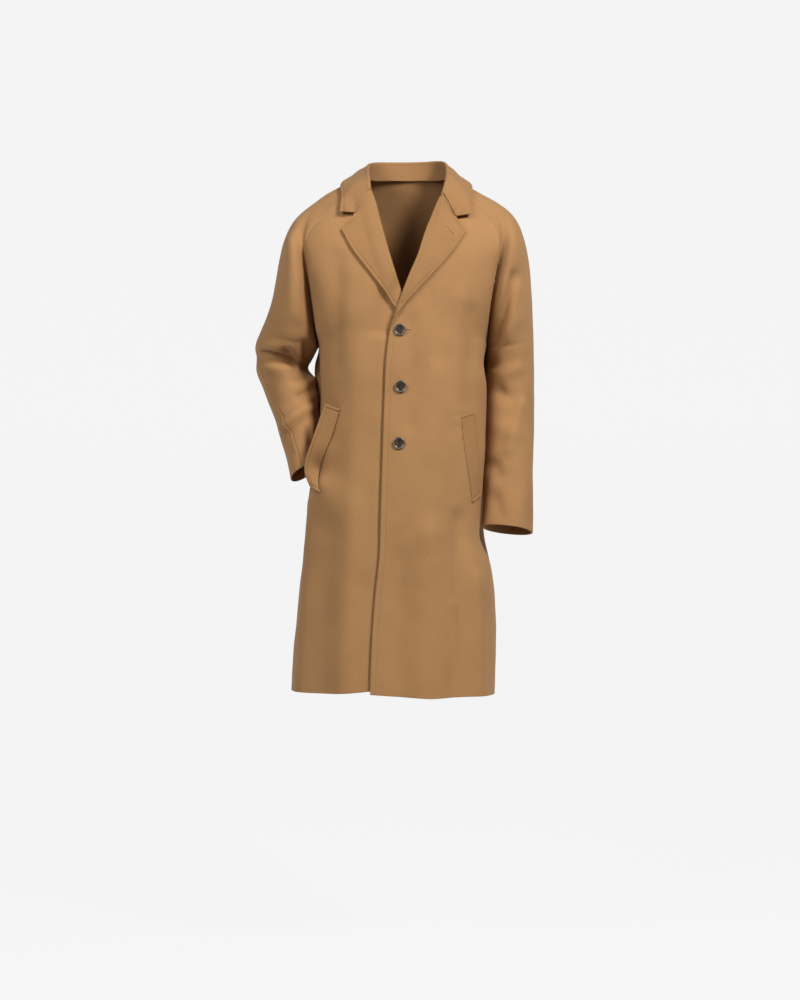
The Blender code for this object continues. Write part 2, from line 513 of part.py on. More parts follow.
def front_panel(side, rows_low, rows_cap, columns, edge_back=0.0):
    """Rows from hem to neck, columns from the inner edge to the side or raglan seam."""
    edge = EDGE_RIGHT if side == RIGHT else EDGE_LEFT
    under = UNDERARM[side][2]
    cap_rows = sleeve_at(side, np.linspace(CAP_STEPS, 0, rows_cap + 1)[1:])[:, 1, 2]
    heights = np.concatenate([np.linspace(HEM_Z, under, rows_low), cap_rows])
    grid = np.empty((len(heights), columns, 3))
    share = np.linspace(0, 1, columns)
    for k, z in enumerate(heights):
        line, q = front_section(z)
        inner = column(edge, "x", z)[0] + side * edge_back * ease((z - BREAK_Z) / BREAK_RUN)
        first, last = line[:, 0].argmin(), line[:, 0].argmax()
        start = np.interp(inner, line[first:last + 1, 0], q[first:last + 1])
        at = start + (side - start) * share
        right, left = (tuple(p[0] for p in half_section(s, z)) for s in (RIGHT, LEFT))
        grid[k] = np.where(at[:, None] < 0, bezier(*right, np.abs(at)), bezier(*left, np.abs(at)))
    return grid


def back_panel(rows_low, rows_cap, columns):
    """Rows from hem to neck, columns from the wearer's right to left."""
    ends = {}
    for side in (RIGHT, LEFT):
        cap_rows = sleeve_at(side, np.linspace(CAP_STEPS, 0, rows_cap + 1)[1:])[:, 2, 2]
        ends[side] = np.concatenate([np.linspace(HEM_Z, UNDERARM[side][2], rows_low), cap_rows])
    half = columns // 2 + 1
    t = np.linspace(0, 1, half)
    grid = np.empty((len(ends[RIGHT]), 2 * half - 1, 3))
    for k in range(len(grid)):
        middle_z = (ends[RIGHT][k] + ends[LEFT][k]) / 2
        halves = []
        for side in (RIGHT, LEFT):
            p0, p1, p2, p3 = (p[0] for p in half_section(side, ends[side][k], back=True))
            p0 = np.array([p0[0], column(BODY, "back_y", middle_z)[0], middle_z])
            p1 = np.array([p1[0], p0[1], middle_z])
            halves.append(bezier(p0, p1, p2, p3, t))
        grid[k] = np.concatenate([halves[0][::-1], halves[1][1:]])
    return grid


def sleeve_panel(side, back, rows_cap, rows_low, columns):
    """Rows from neck to cuff, columns from the overarm seam to the raglan and underarm seam."""
    steps = np.concatenate([np.linspace(0, CAP_STEPS, rows_cap + 1)[:-1], np.linspace(CAP_STEPS, LAST_STEP, rows_low)])
    share = 1 - np.linspace(1, 0, columns) ** SLEEVE_SPACING
    grid = np.empty((len(steps), columns, 3))
    for k, row in enumerate(sleeve_at(side, steps)):
        over, front, rear, over_front, over_back, leave, leave_back = row
        if back:
            grid[k] = bezier(over, over + over_back, rear + leave_back, rear, share)
        else:
            grid[k] = bezier(over, over + over_front, front + leave, front, share)
    return grid, steps


def level_hem(grid, hem):
    """Moves the lower part of a panel so that its hem follows the hem table."""
    share = ease((HEM_LEVEL_Z - grid[..., 2]) / (HEM_LEVEL_Z - HEM_Z))
    at = np.clip(grid[..., 0], hem["x"][0], hem["x"][-1])
    grid[..., 2] += (smooth(hem["x"], hem["z"], at) - HEM_Z) * share
    return grid


def grid_normals(grid, sign):
    down = np.gradient(grid, axis=0)
    across = np.gradient(grid, axis=1)
    return sign * unit(np.cross(across, down))


def boundary(grid):
    rows, columns = grid.shape[:2]
    found = [(0, c) for c in range(columns)] + [(rows - 1, c) for c in range(columns)]
    return found + [(r, c) for r in range(1, rows - 1) for c in (0, columns - 1)]


def share_normals(panels):
    """Gives the points that panels have in common along a seam one normal."""
    marks = [(name, at) for name, panel in panels.items() for at in boundary(panel["grid"])]
    tree = kdtree.KDTree(len(marks))
    for i, (name, at) in enumerate(marks):
        tree.insert(panels[name]["grid"][at], i)
    tree.balance()
    shared = {}
    for i, (name, at) in enumerate(marks):
        near = [j for _, j, _ in tree.find_range(panels[name]["grid"][at], 2e-5)]
        normals = np.array([panels[marks[j][0]]["normals"][marks[j][1]] for j in near])
        shared[i] = unit(normals.sum(axis=0))
    for i, (name, at) in enumerate(marks):
        panels[name]["normals"][at] = shared[i]
    # Where body and sleeve seams cross under the arm, the outside is below.
    for name, at in marks:
        for under in UNDERARM.values():
            if np.linalg.norm(panels[name]["grid"][at] - under) < 0.001:
                panels[name]["normals"][at] = (0, 0, -1)


def make_panels(scale):
    """Body and sleeve panels with their folds. scale 1 is the solid's own mesh."""
    low, cap = int(20 * scale), int(16 * scale)
    sleeve_low = int(15 * scale)
    panels = {}
    for side, name in ((RIGHT, "right"), (LEFT, "left")):
        grid = front_panel(side, low, cap, int(15 * scale), LAPEL_BACK)
        grid = level_hem(grid, HEM_RIGHT if side == RIGHT else HEM_LEFT)
        panels[f"front_{name}"] = {"grid": grid, "sign": side, "caps": (low, cap)}
        for back, half in ((False, "front"), (True, "back")):
            grid, steps = sleeve_panel(side, back, cap, sleeve_low, int(10 * scale))
            sign = side * (-1 if back else 1)
            panels[f"sleeve_{half}_{name}"] = {"grid": grid, "sign": sign, "steps": steps}
    grid = level_hem(back_panel(low, cap, int(20 * scale)), HEM_BACK)
    panels["back"] = {"grid": grid, "sign": -1, "caps": (low, cap)}
    for panel in panels.values():
        panel["normals"] = grid_normals(panel["grid"], panel["sign"])
    share_normals(panels)
    for name, panel in panels.items():
        fold(name, panel)
        panel["normals"] = grid_normals(panel["grid"], panel["sign"])
        panel["own_normals"] = panel["normals"].copy()
    share_normals(panels)
    return panels


def seam_fade(name, panel):
    """0 on the raglan seam, 1 away from it, so that both its sides stay together."""
    rows, columns = panel["grid"].shape[:2]
    share = np.linspace(0, 1, columns)[None, :]
    if name.startswith("sleeve"):
        share = 1 - (1 - share) ** SLEEVE_SPACING
        cap = ease((CAP_STEPS + 1.2 - panel["steps"]) / 1.2)[:, None]
    else:
        low, _ = panel["caps"]
        cap = ease((np.arange(rows) - low + 1 + 0.1 * low) / (0.1 * low))[:, None]
    near = ease((1 - share) / SEAM_REACH)
    if name == "back":
        near = ease((1 - np.abs(2 * share - 1)) / SEAM_REACH)
    return 1 - (1 - near) * cap


def fold(name, panel):
    grid, normals = panel["grid"], panel["normals"]
    front, back = facing(normals), facing(normals, back=True)
    if name.startswith("sleeve"):
        height = fold_height(grid, SLEEVE_FRONT_FOLDS, front) + fold_height(grid, SLEEVE_BACK_FOLDS, back)
    else:
        height = fold_height(grid, FRONT_FOLDS, front) + fold_height(grid, BACK_FOLDS, back)
    height = height * seam_fade(name, panel)
    if name == "front_right":
        height = height - front_layer(grid[..., 0], grid[..., 2])
    panel["grid"] = grid + normals * height[..., None]


def lying_on_front(x, z, lift, layer=None):
    """Points of a piece that lies on the front, with the front's folds, and their normals."""
    flat = np.stack([x, front_y(x, z), z], axis=-1)
    normals = front_normal(x, z)
    height = fold_height(flat, FRONT_FOLDS, facing(normals)) + lift
    if layer is not None:
        height = height - layer
    return flat + normals * height[..., None], normals


def lapel_grid(side, rows, columns):
    """Rows from the break to the gorge, columns from the roll line to the outer edge."""
    edge, out = (EDGE_RIGHT, LAPEL_OUT_RIGHT) if side == RIGHT else (EDGE_LEFT, LAPEL_OUT_LEFT)
    corners = out["z"]
    heights = np.concatenate([
        np.linspace(a, b, max(2, int(round(rows * (b - a) / (corners[-1] - corners[0])))), endpoint=False)
        for a, b in zip(corners[:-1], corners[1:])
    ] + [corners[-1:]])
    roll = column(edge, "x", heights)
    low = heights < corners[5]
    outer = np.where(low, smooth(corners[:6], out["x"][:6], heights), np.interp(heights, corners, out["x"]))
    # The first columns turn round the fold of the lapel.
    turned = [place for place, _ in LAPEL_SECTION[:2]]
    share = np.concatenate([turned, np.linspace(LAPEL_SECTION[2][0], 1, columns - 2)])
    x = roll[:, None] + (outer - roll)[:, None] * share
    rise = np.interp(share, *zip(*LAPEL_SECTION))
    x[:, 0] = roll
    x[:, 1] = roll + side * LAPEL_TUCK
    z = np.repeat(heights[:, None], len(share), axis=1)
    layer = front_layer(x, z, lapel=True) if side == RIGHT else None
    return lying_on_front(x, z, np.broadcast_to(rise, x.shape), layer)


def collar_grid(rows_round, columns):
    """The fall: rows round the neck, columns from inside the fold over the crest to the outer edge."""
    steps = np.linspace(0, COLLAR_STEPS, rows_round)
    crest, edge = (smooth(COLLAR["step"], point_columns(COLLAR, stem), steps) for stem in ("crest", "edge"))
    out = unit((edge - crest) * [1, 1, 0])
    fold_points = [crest + out * along + np.array([0, 0, 1.0]) * up for along, up in COLLAR_FOLD]
    half = (columns - len(COLLAR_FOLD)) // 2 + 1
    share = np.concatenate([np.linspace(0, NOTCH_SHARE, half + 1)[1:], np.linspace(NOTCH_SHARE, 1, half)[1:]])
    share = share[None, :, None]
    grid = fold_points[-1][:, None] * (1 - share) + edge[:, None] * share
    bulge = np.sin(np.pi * share)
    ends = ease(1 - np.minimum(steps, COLLAR_STEPS - steps) / COLLAR_END)[:, None, None]
    out_by, up_by = COLLAR_FULL
    grid = grid + (out[:, None] * out_by + np.array([0, 0, up_by])) * bulge * (1 - ends)
    # Each end follows the gorge down to the notch, then the front edge of the collar.
    notch = np.minimum(share / NOTCH_SHARE, (1 - share) / (1 - NOTCH_SHARE))
    grid = grid + (np.array([0, -0.002, COLLAR_NOTCH_DOWN]) - out[:, None] * COLLAR_NOTCH_IN) * notch * ends
    return np.concatenate([np.stack(fold_points, axis=1), grid], axis=1)


def surface_of(panels):
    """The outer faces of panels, for finding the place nearest to a point."""
    points, faces = [], []
    for panel in panels:
        rows, columns = panel["grid"].shape[:2]
        index = np.arange(rows * columns).reshape(rows, columns) + len(points)
        quads = np.stack([index[:-1, :-1], index[1:, :-1], index[1:, 1:], index[:-1, 1:]], axis=-1).reshape(-1, 4)
        faces += (quads if panel["sign"] < 0 else quads[:, ::-1]).tolist()
        points += panel["grid"].reshape(-1, 3).tolist()
    return bvhtree.BVHTree.FromPolygons(points, faces)


def height_over(surface, point):
    """How far a point is outside a surface, and the direction straight out there."""
    place, normal, _, _ = surface.find_nearest(point)
    normal = np.array(normal)
    return (point - np.array(place)) @ normal, normal


def lay_on(grid, surface, lift, exactly=False):
    """Moves the points of a grid out until each is lift above a surface, or to exactly that height."""
    moved = grid.copy()
    for at in np.ndindex(grid.shape[:-1]):
        for _ in range(2):
            above, normal = height_over(surface, moved[at])
            if exactly or above < lift:
                moved[at] += normal * (lift - above)
    return moved


def stand_grid(rows_round, columns):
    """The stand: rows round the neck, columns from the crest down to the neck seam."""
    steps = np.linspace(*STAND_STEPS, rows_round)
    crest, seam = (smooth(COLLAR["step"], point_columns(COLLAR, stem), steps) for stem in ("crest", "seam"))
    top = crest - np.array([0, 0, STAND_BELOW])
    share = np.linspace(0, 1, columns)[None, :, None]
    return top[:, None] * (1 - share) + seam[:, None] * share


def welt_grid(side, rows, columns, surface):
    """Rows from the top of the welt to its bottom, columns from its seam to its free edge."""
    data = WELT_RIGHT if side == RIGHT else WELT_LEFT
    steps = np.linspace(0, data["step"][-1], rows)
    seam_x, seam_z, edge_x, edge_z = (
        smooth(data["step"], data[name], steps) for name in ("seam_x", "seam_z", "edge_x", "edge_z")
    )
    share = np.linspace(0, 1, columns)
    x = seam_x[:, None] * (1 - share) + edge_x[:, None] * share
    z = seam_z[:, None] * (1 - share) + edge_z[:, None] * share
    if side == LEFT:
        grid = lay_on(lying_on_front(x, z, WELT_LIFT + 0.0007)[0], surface, WELT_LIFT + 0.0004)
        grid[:, 0] = lay_on(grid[:, 0], surface, WELT_LIFT, exactly=True)
        return grid
    seam, normals = lying_on_front(seam_x, seam_z, WELT_LIFT)
    seam = lay_on(seam, surface, WELT_LIFT, exactly=True)
    edge = np.stack([edge_x, smooth(data["step"], data["edge_y"], steps), edge_z], axis=-1)
    share = share[None, :, None]
    grid = seam[:, None] * (1 - share) + edge[:, None] * share
    return grid + normals[:, None] * (np.sin(np.pi * share) * WELT_SWELL)


# ---- Solids


def wall(grid, normals, thickness):
    """Closed mesh between a grid and the same grid moved inwards."""
    rows, columns = grid.shape[:2]
    moved = grid - normals * thickness
    points = np.concatenate([grid.reshape(-1, 3), moved.reshape(-1, 3)])
    index = np.arange(rows * columns).reshape(rows, columns)
    inner = index + rows * columns
    faces = []
    for a, flip in ((index, False), (inner, True)):
        quads = np.stack([a[:-1, :-1], a[1:, :-1], a[1:, 1:], a[:-1, 1:]], axis=-1).reshape(-1, 4)
        faces += (quads[:, ::-1] if flip else quads).tolist()
    loop = np.concatenate([index[0, :-1], index[:-1, -1], index[-1, :0:-1], index[:0:-1, 0]])
    other = loop + rows * columns
    for i in range(len(loop)):
        j = (i + 1) % len(loop)
        faces.append([int(loop[i]), int(loop[j]), int(other[j]), int(other[i])])
    return points, faces


def inset(grid, amount):
    """Pulls the four edges of a grid in by a little, along the panel."""
    moved = grid.copy()
    for edge, near in (((0,), (1,)), ((-1,), (-2,))):
        moved[edge] += unit(grid[near] - grid[edge]) * amount
        moved[:, edge[0]] += unit(grid[:, near[0]] - grid[:, edge[0]]) * amount
    return moved


def material(name, colour, roughness, metallic=0.0):
    made = bpy.data.materials.new(name)
    made.use_nodes = True
    shader = made.node_tree.nodes["Principled BSDF"]
    shader.inputs["Base Color"].default_value = (*colour, 1)
    shader.inputs["Roughness"].default_value = roughness
    shader.inputs["Metallic"].default_value = metallic
    return made


def add_object(name, points, faces, colour, roughness, outward=True):
    mesh = bpy.data.meshes.new(name)
    mesh.from_pydata(points.tolist(), [], faces if outward else [face[::-1] for face in faces])
    mesh.update()
    made = bpy.data.objects.new(name, mesh)
    bpy.context.scene.collection.objects.link(made)
    mesh.materials.append(material(name, colour, roughness))
    return made


WOOL = (0.33, 0.19, 0.085)
WOOL_DARK = (0.29, 0.165, 0.072)
HORN = (0.035, 0.022, 0.016)


def ease_seams(panel):
    """Pulls the edges of a panel in along it, and inwards where it is folded against its neighbour."""
    grid = inset(panel["grid"], SEAM_INSET)
    for at in boundary(grid):
        grid[at] -= panel["own_normals"][at] * SEAM_INSET
    return grid


def add_wall(name, grid, normals, thickness, sign, colour=WOOL, shrink=0.0):
    grid = inset(grid, shrink)
    points, faces = wall(grid, normals, thickness)
    return add_object(name, points, faces, colour, 0.9, outward=sign < 0)


def add_button(name, x, z, surface):
    """A dished button with a rim and four holes, square to the left front and just clear of it."""
    place, normal = lying_on_front(np.array([x]), np.array([z]), 0.0)
    place, normal = place[0], normal[0]
    ring = (
        (BUTTON_RADIUS * 0.86, 0.0), (BUTTON_RADIUS, 0.0010), (BUTTON_RADIUS, 0.0030),
        (BUTTON_RADIUS * 0.93, BUTTON_THICK), (BUTTON_RADIUS * 0.80, BUTTON_THICK), (BUTTON_RADIUS * 0.68, BUTTON_DISH),
    )
    sides = BUTTON_SIDES
    angle = np.linspace(0, 2 * np.pi, sides, endpoint=False)
    across = unit(np.cross(normal, [0, 0, 1.0]))
    up = np.cross(across, normal)
    round_ = np.cos(angle)[:, None] * across + np.sin(angle)[:, None] * up
    lowest = min(height_over(surface, place + point * BUTTON_RADIUS * 0.86)[0] for point in round_)
    place = place + normal * (BUTTON_LIFT - lowest)
    points = [place + round_ * r + normal * h for r, h in ring]
    points = np.concatenate(points + [[place], [place + normal * BUTTON_CENTRE]])
    base, top = len(points) - 2, len(points) - 1
    faces = []
    for k in range(len(ring) - 1):
        for i in range(sides):
            j = (i + 1) % sides
            faces.append([k * sides + i, k * sides + j, (k + 1) * sides + j, (k + 1) * sides + i])
    last = (len(ring) - 1) * sides
    for i in range(sides):
        j = (i + 1) % sides
        faces.append([base, j, i])
        faces.append([top, last + i, last + j])
    made = add_object(name, points, faces, HORN, 0.35)
    for k in range(4):
        turn = np.pi / 4 + k * np.pi / 2
        centre = place + HOLE_AWAY * (np.cos(turn) * across + np.sin(turn) * up)
        circle = np.linspace(0, 2 * np.pi, HOLE_SIDES, endpoint=False)
        rim = centre + HOLE_RADIUS * (np.cos(circle)[:, None] * across + np.sin(circle)[:, None] * up)
        bore = np.concatenate([rim - normal * BUTTON_THICK, rim + normal * 2 * BUTTON_THICK])
        after = [(i + 1) % HOLE_SIDES for i in range(HOLE_SIDES)]
        walls = [[i, i + HOLE_SIDES, j + HOLE_SIDES, j] for i, j in enumerate(after)]
        ends = [list(range(HOLE_SIDES)), list(range(2 * HOLE_SIDES - 1, HOLE_SIDES - 1, -1))]
        cutter = add_object(f"{name}_hole_{k}", bore, walls + ends, HORN, 0.5)
        cutter.hide_render = True
        cutter.hide_viewport = True
        cut = made.modifiers.new("hole", "BOOLEAN")
        cut.object = cutter
        cut.operation = "DIFFERENCE"
        cut.solver = "EXACT"
    return made


def build():
    for item in list(bpy.data.objects):
        bpy.data.objects.remove(item)
    panels = make_panels(1)
    for name, panel in panels.items():
        add_wall(name, ease_seams(panel), panel["normals"], CLOTH, panel["sign"])
    fronts = {side: surface_of([panels[f"front_{name}"]]) for side, name in ((RIGHT, "right"), (LEFT, "left"))}
    for side, name in ((RIGHT, "right"), (LEFT, "left")):
        grid, _ = lapel_grid(side, 18, 8)
        normals = grid_normals(grid, side)
        add_wall(f"lapel_{name}", grid, normals, LAPEL_CLOTH, side, WOOL_DARK)
        grid = welt_grid(side, 10, 4, fronts[side])
        normals = grid_normals(grid, -side)
        add_wall(f"welt_{name}", grid, normals, WELT_CLOTH, -side, WOOL_DARK)
    grid = lay_on(collar_grid(30, 9), surface_of(panels.values()), FALL_LIFT)
    add_wall("collar_fall", grid, grid_normals(grid, -1), LAPEL_CLOTH, -1, WOOL_DARK, 0.0003)
    grid = stand_grid(28, 3)
    add_wall("collar_stand", grid, grid_normals(grid, 1), CLOTH, 1, WOOL, 0.0003)
    for k, (x, z) in enumerate(BUTTON_PLACES):
        add_button(f"button_{k + 1}", x, z, fronts[LEFT])


build()
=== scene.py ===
"""A camel wool overcoat as it is worn, in front of a plain pale studio wall.

Metres, +Z up, the front of the coat towards -Y. Each cloth piece is a thin shell on the form of its solid:
a fine grid of points from the same sections and seams, with the coat's folds, seams and edges laid into it.
"""

import bpy
import numpy as np
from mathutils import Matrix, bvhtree, kdtree


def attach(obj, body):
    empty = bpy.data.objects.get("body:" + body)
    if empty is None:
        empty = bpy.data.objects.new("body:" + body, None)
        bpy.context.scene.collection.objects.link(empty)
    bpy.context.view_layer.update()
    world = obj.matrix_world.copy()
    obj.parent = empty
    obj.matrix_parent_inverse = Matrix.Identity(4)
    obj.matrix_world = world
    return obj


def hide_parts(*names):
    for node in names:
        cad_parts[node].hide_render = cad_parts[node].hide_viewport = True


CLOTH = 0.0025          # wall of one layer of coating wool
LAPEL_CLOTH = 0.0036    # lapel and collar: two layers pressed together
WELT_CLOTH = 0.0034
UNDER_GAP = 0.0046      # the right front lies this far inside the left one
LAPEL_UNDER = 0.0060    # and this much more where the right lapel is between them
LAPEL_BACK = 0.0068     # the front stops this far short of the fold of its lapel
LAPEL_LIFT = 0.0044     # outer face of a lapel above the front under it
WELT_LIFT = 0.0042      # outer face of a welt above the front
HEM_Z = -1.060
NOTCH_SHARE = 0.50      # how far along the collar's front end the notch is
STAND_BELOW = 0.0064    # top of the collar stand below the crest of the fold
FALL_LIFT = 0.0060      # outer face of the collar above the shoulders

RIGHT, LEFT = -1, 1     # the wearer's sides, as the sign of X

# Columns that hold steps, shares or degrees.
PLAIN = "step full right_turn left_turn right_back left_back tilt lean seam".split()


def table(text):
    """The columns of a table by name. Its first line has the names, and short rows share a line below it.

    Lengths are written in millimetres, and the columns in PLAIN as they are.
    """
    names, numbers = text.strip().split("\n", 1)
    names = names.split()
    columns = np.array(numbers.split(), float).reshape(-1, len(names)).T
    return {name: column if name in PLAIN else column / 1000 for name, column in zip(names, columns)}


# Body sections from hem to neck. turn, back: how far the front and back quarters swell past the side, in
# degrees. full: how square the section is. Above the underarm each section goes on to where the shoulder
# would be, and the raglan seam cuts it.
BODY = table("""
    z right_x left_x centre_x front_y back_y side_y right_turn left_turn right_back left_back full
    -1060 -236.6   187   -38   -172   176 10  4  4  2  2 0.64
     -900 -224.5 188.5   -30   -166   168 10  4  4  2  2 0.66
     -840   -218   185   -24   -163   162 10  6  6  3  3 0.68
     -790 -211.5 174.5   -18   -160   157 12  8 10  4 14  0.7
     -735 -205.5   148   -15   -157   154 15 10 18  8 46  0.7
     -690 -201.5 142.5   -14 -154.8 151.5 17 11 28 12 54  0.7
     -660 -198.5   143 -13.5 -153.8   150 18 12 30 20 56  0.7
     -636   -190   144   -13 -153.3 149.5 19 13 31 32 56  0.7
     -605   -171 145.5   -13 -152.8 148.8 20 16 32 44 56  0.7
     -550   -166   149 -12.5   -152   147 20 22 32 50 56  0.7
     -480   -164 151.5   -12 -150.5   146 20 24 31 56 54  0.7
     -420   -168 154.5   -11   -150   145 20 16 27 54 50 0.72
     -370   -176   159   -11   -150   147 20  6 12 36 40 0.76
     -335   -181   172   -11 -149.5   148 20  0  0  6  6 0.78
     -250   -196   182   -11   -146   148 20  0  0  0  0 0.76
     -150   -212   202   -11   -133   141 20  0  0  0  0  0.7
      -50   -199   200   -11    -98   118 14  0  0  0  0 0.66
      -20   -162   165   -11    -83   102 12  0  0  0  0 0.66
        3   -124   126   -11    -72    88 12  0  0  0  0 0.66
       25    -86    96   -11    -62    76 12  0  0  0  0 0.66
""")

# Raglan sleeve caps from neck to underarm: overarm seam, front and back raglan seam, how the sleeve leaves
# the front raglan seam (leave), and how far it reaches straight ahead of the overarm seam.
CAP_RIGHT = table("""
    step over_x over_y over_z front_x front_y front_z back_x back_y back_z leave_x leave_y leave_z over_reach
     0    -88 12   20    -84 -46    3  -62  60   22  -4  20  8  20
     1   -123 11    3   -111 -56  -20  -90  80    0  -7  24 10  26
     2   -157  8  -15   -138 -66  -45 -120  98  -30 -10  26 12  34
     3   -188  6  -36   -163 -76  -68 -146 113  -62 -14  24 11  44
     4 -219.5  4  -63   -187 -86  -94 -168 124 -100 -20  14  9  55
     5   -238  4  -87 -201.5 -92 -122 -184 130 -135 -26  -6  6  64
     6   -252  5 -118 -204.5 -95 -150 -194 131 -170 -30 -24  3  72
     7   -262  8 -160 -201.5 -92 -185 -196 128 -208 -32 -36  0  80
     8 -270.5 11 -209   -197 -84 -222 -193 118 -248 -34 -46  0  88
     9   -281 15 -250   -192 -68 -262 -189  98 -285 -34 -58 -2  96
    10   -291 18 -279   -187 -36 -302 -185  64 -315 -24 -82 -6 104
""")
CAP_LEFT = table("""
    step over_x over_y over_z front_x front_y front_z back_x back_y back_z leave_x leave_y leave_z over_reach
     0    98 12   20    95 -46    3  66  60   22  4  20  8 20
     1   128 11    0   121 -56  -27  92  80    0  7  24 10 26
     2   160  8  -18   146 -66  -52 120  98  -30 10  26 12 34
     3   191  6  -37   170 -77  -75 146 113  -62 14  24 11 44
     4   219  4  -58   188 -86  -98 168 124 -100 20  14  9 55
     5   238  4  -86 196.5 -92 -123 183 130 -135 26  -6  6 64
     6 250.5  5 -123   195 -96 -153 192 131 -170 30 -24  3 72
     7 258.5  8 -165   189 -92 -188 193 128 -208 32 -36  0 80
     8   263 12 -212 182.5 -84 -226 189 118 -248 34 -44  0 86
     9 266.5 15 -256   177 -66 -265 183  98 -285 34 -54 -2 90
    10   268 18 -292 173.5 -32 -303 178  64 -315 22 -76 -6 92
""")
CAP_STEPS = 11          # the next step after the last row of a cap is the underarm

# Sleeve rings from underarm to cuff. tilt: front edge raised. lean: outer edge raised. seam: overarm seam
# turned to the front. All three in degrees.
RINGS_RIGHT = table("""
    step x y z half_width half_depth tilt lean seam
    12 -255.5  36 -352   60 78 -6  12  5
    13 -258.5  46 -386   55 70  4   2 40
    14   -244  34 -421   54 64 12  -4 32
    15   -232  18 -457   50 60 18 -10 34
    16 -226.2  -2 -503 39.5 58 20 -16 56
    17   -218 -18 -553 33.5 56 16 -22 74
    18   -212 -30 -603 29.5 55 12 -27 86
""")
RINGS_LEFT = table("""
    step x y z half_width half_depth tilt lean seam
    12 220.5  25 -372   49   73 -3  4  0
    13   220  28 -420 49.5   70  2  2  2
    14   219  18 -480   51   66  6  0  4
    15   217   4 -540   51   62  8 -2  6
    16 215.5  -8 -600 51.5   59  9 -4  8
    17 214.5 -20 -660 51.5 56.5 10 -6 10
    18   212 -32 -722 53.5   55 10 -7 12
""")
UNDERARM = {RIGHT: (-0.181, 0.020, -0.335), LEFT: (0.172, 0.020, -0.335)}
# Half width, half depth, lean and tilt of the ring there.
UNDERARM_RING = {RIGHT: (0.062, 0.084, 15, -8), LEFT: (0.0485, 0.078, 6, -6)}

# Height of the hem along each panel.
HEM_RIGHT = table("""
    x z
    -237   -1054   -180 -1052.5   -130 -1051.5    -70   -1046     10   -1044
""")
HEM_LEFT = table("""
    x z
    -75   -1052     0 -1057.5    50   -1061   120   -1060   187   -1062
""")
HEM_BACK = table("""
    x z
    -237 -1054   -120 -1059      0 -1061    100 -1062    187 -1062
""")

# Inner edge of each front: the front edge up to the break of the lapel, then the roll line.
EDGE_LEFT = table("""
    z x
    -1060   -71    -937 -66.4    -852 -60.2    -769 -51.9    -707 -49.9    -624 -47.7    -559 -45.7
     -456 -42.2    -363 -37.6    -335 -34.5    -306 -28.7    -234  -5.4    -193  10.4    -163  23.5
     -109  41.1     -85  50.4     -54  62.5     -29    73       3  82.8
""")
EDGE_RIGHT = table("""
    z x
     -1060     6     -900    12     -700    19     -500    21     -360    21     -325  19.5     -297    14
    -234.7  -6.4     -171 -26.7      -85 -50.3      -54 -57.6      -20   -68        3 -71.2
""")

# Outer outline of each lapel, upwards: edge, tip, notch, gorge.
LAPEL_OUT_RIGHT = table("""
    z x
      -296     12   -271.6  -16.3   -233.1  -43.1   -191.1  -75.4   -151.5 -105.5   -107.1   -130
     -76.9   -105    -73.2   -104    -21.5  -72.5
""")
LAPEL_OUT_LEFT = table("""
    z x
      -306   -31   -270.7    -8   -236.1  22.1   -198.2    57   -158.3  91.9   -112.3 123.4    -83.5   105
       -80   104    -31.5    77
""")

# Collar from the right gorge round the back to the left one: crest (fold), edge of the fall, neck seam.
COLLAR = table("""
    step crest_x crest_y crest_z edge_x edge_y edge_z seam_x seam_y seam_z
     0 -69.5 -80 -16.5   -134 -98.5 -66.5  -74 -68   -8
     1 -72.2 -52    12 -131.5   -48   -33  -78 -46    4
     2 -74.5 -16    36 -125.5    -8    -5  -84 -12 17.5
     3 -70.5  18    47   -116    36     9  -80  26   27
     4   -56  47  53.5    -88    80     8  -61  60   29
     5 -31.5  65    56    -47   104     2  -31  72   31
     6     4  72    57      3   111     0    4  76   31
     7  39.5  65    57     54   103     2   38  71   31
     8  64.5  46    56     96    79     7   69  57   29
     9  79.5  14  49.5    118    34     7   88  24   27
    10    85 -18    33    128    -8   -11   93 -12 17.5
    11  81.5 -52     4    135   -48   -40 88.5 -46    4
    12    74 -83 -26.5  134.4  -100 -71.5   80 -68  -14
""")

# Pocket welts from top to bottom: seam on the front, and free edge.
WELT_RIGHT = table("""
    step seam_x seam_z edge_x edge_y edge_z
    0 -129.6 -468   -164 -104 -460   1   -143 -516 -177.5 -103 -498   2   -156 -560 -191.5 -101 -538
    3   -165 -593 -202.5  -98 -572   4   -169 -622 -205.5  -95 -602   5   -168 -647   -194  -92 -633
""")
WELT_LEFT = table("""
    step seam_x seam_z edge_x edge_z
    0 112 -487 140 -476   1 118 -530 148 -515   2 124 -575 153 -570   3 131 -620 156 -615
    4 137 -665 155 -648
""")

# Folds. x, z: ends as seen from the front or back. raise: height of a ridge, or depth of a trough below 0.
FRONT_FOLDS = table("""
    x0 z0 x1 z1 width raise
    -138 -150 -142  -400 18  -4   -172 -170 -176  -330 22   5   -110 -180 -114  -300 18   2
     -98 -320 -104  -640 32 4.2   -168 -530 -178  -650 24  10   -104 -640 -118 -1060 26   6
    -165 -680 -178 -1060 32  -9   -208 -700 -218 -1060 15   5     12 -280    8  -520 16  -3
     108 -220   98  -500 24   6     62 -380   48  -760 26   6     48 -700   42 -1060 26   8
     136 -260  134  -470 16  -5    -10 -760  -16 -1060 22  -6    112 -680  108 -1060 20  -9
     100 -860  112 -1060 10   4    148 -800  156 -1060 14   6
""")
BACK_FOLDS = table("""
    x0 z0 x1 z1 width raise
     -60 -420  -75 -1060 28  -9     55 -380   70 -1060 30 -10   -135 -520 -160 -1060 26   8
     130 -500  145 -1060 26   8      0 -600   -5 -1060 26   7   -120 -140 -110  -380 20  -6
     120 -140  108  -400 20  -6
""")
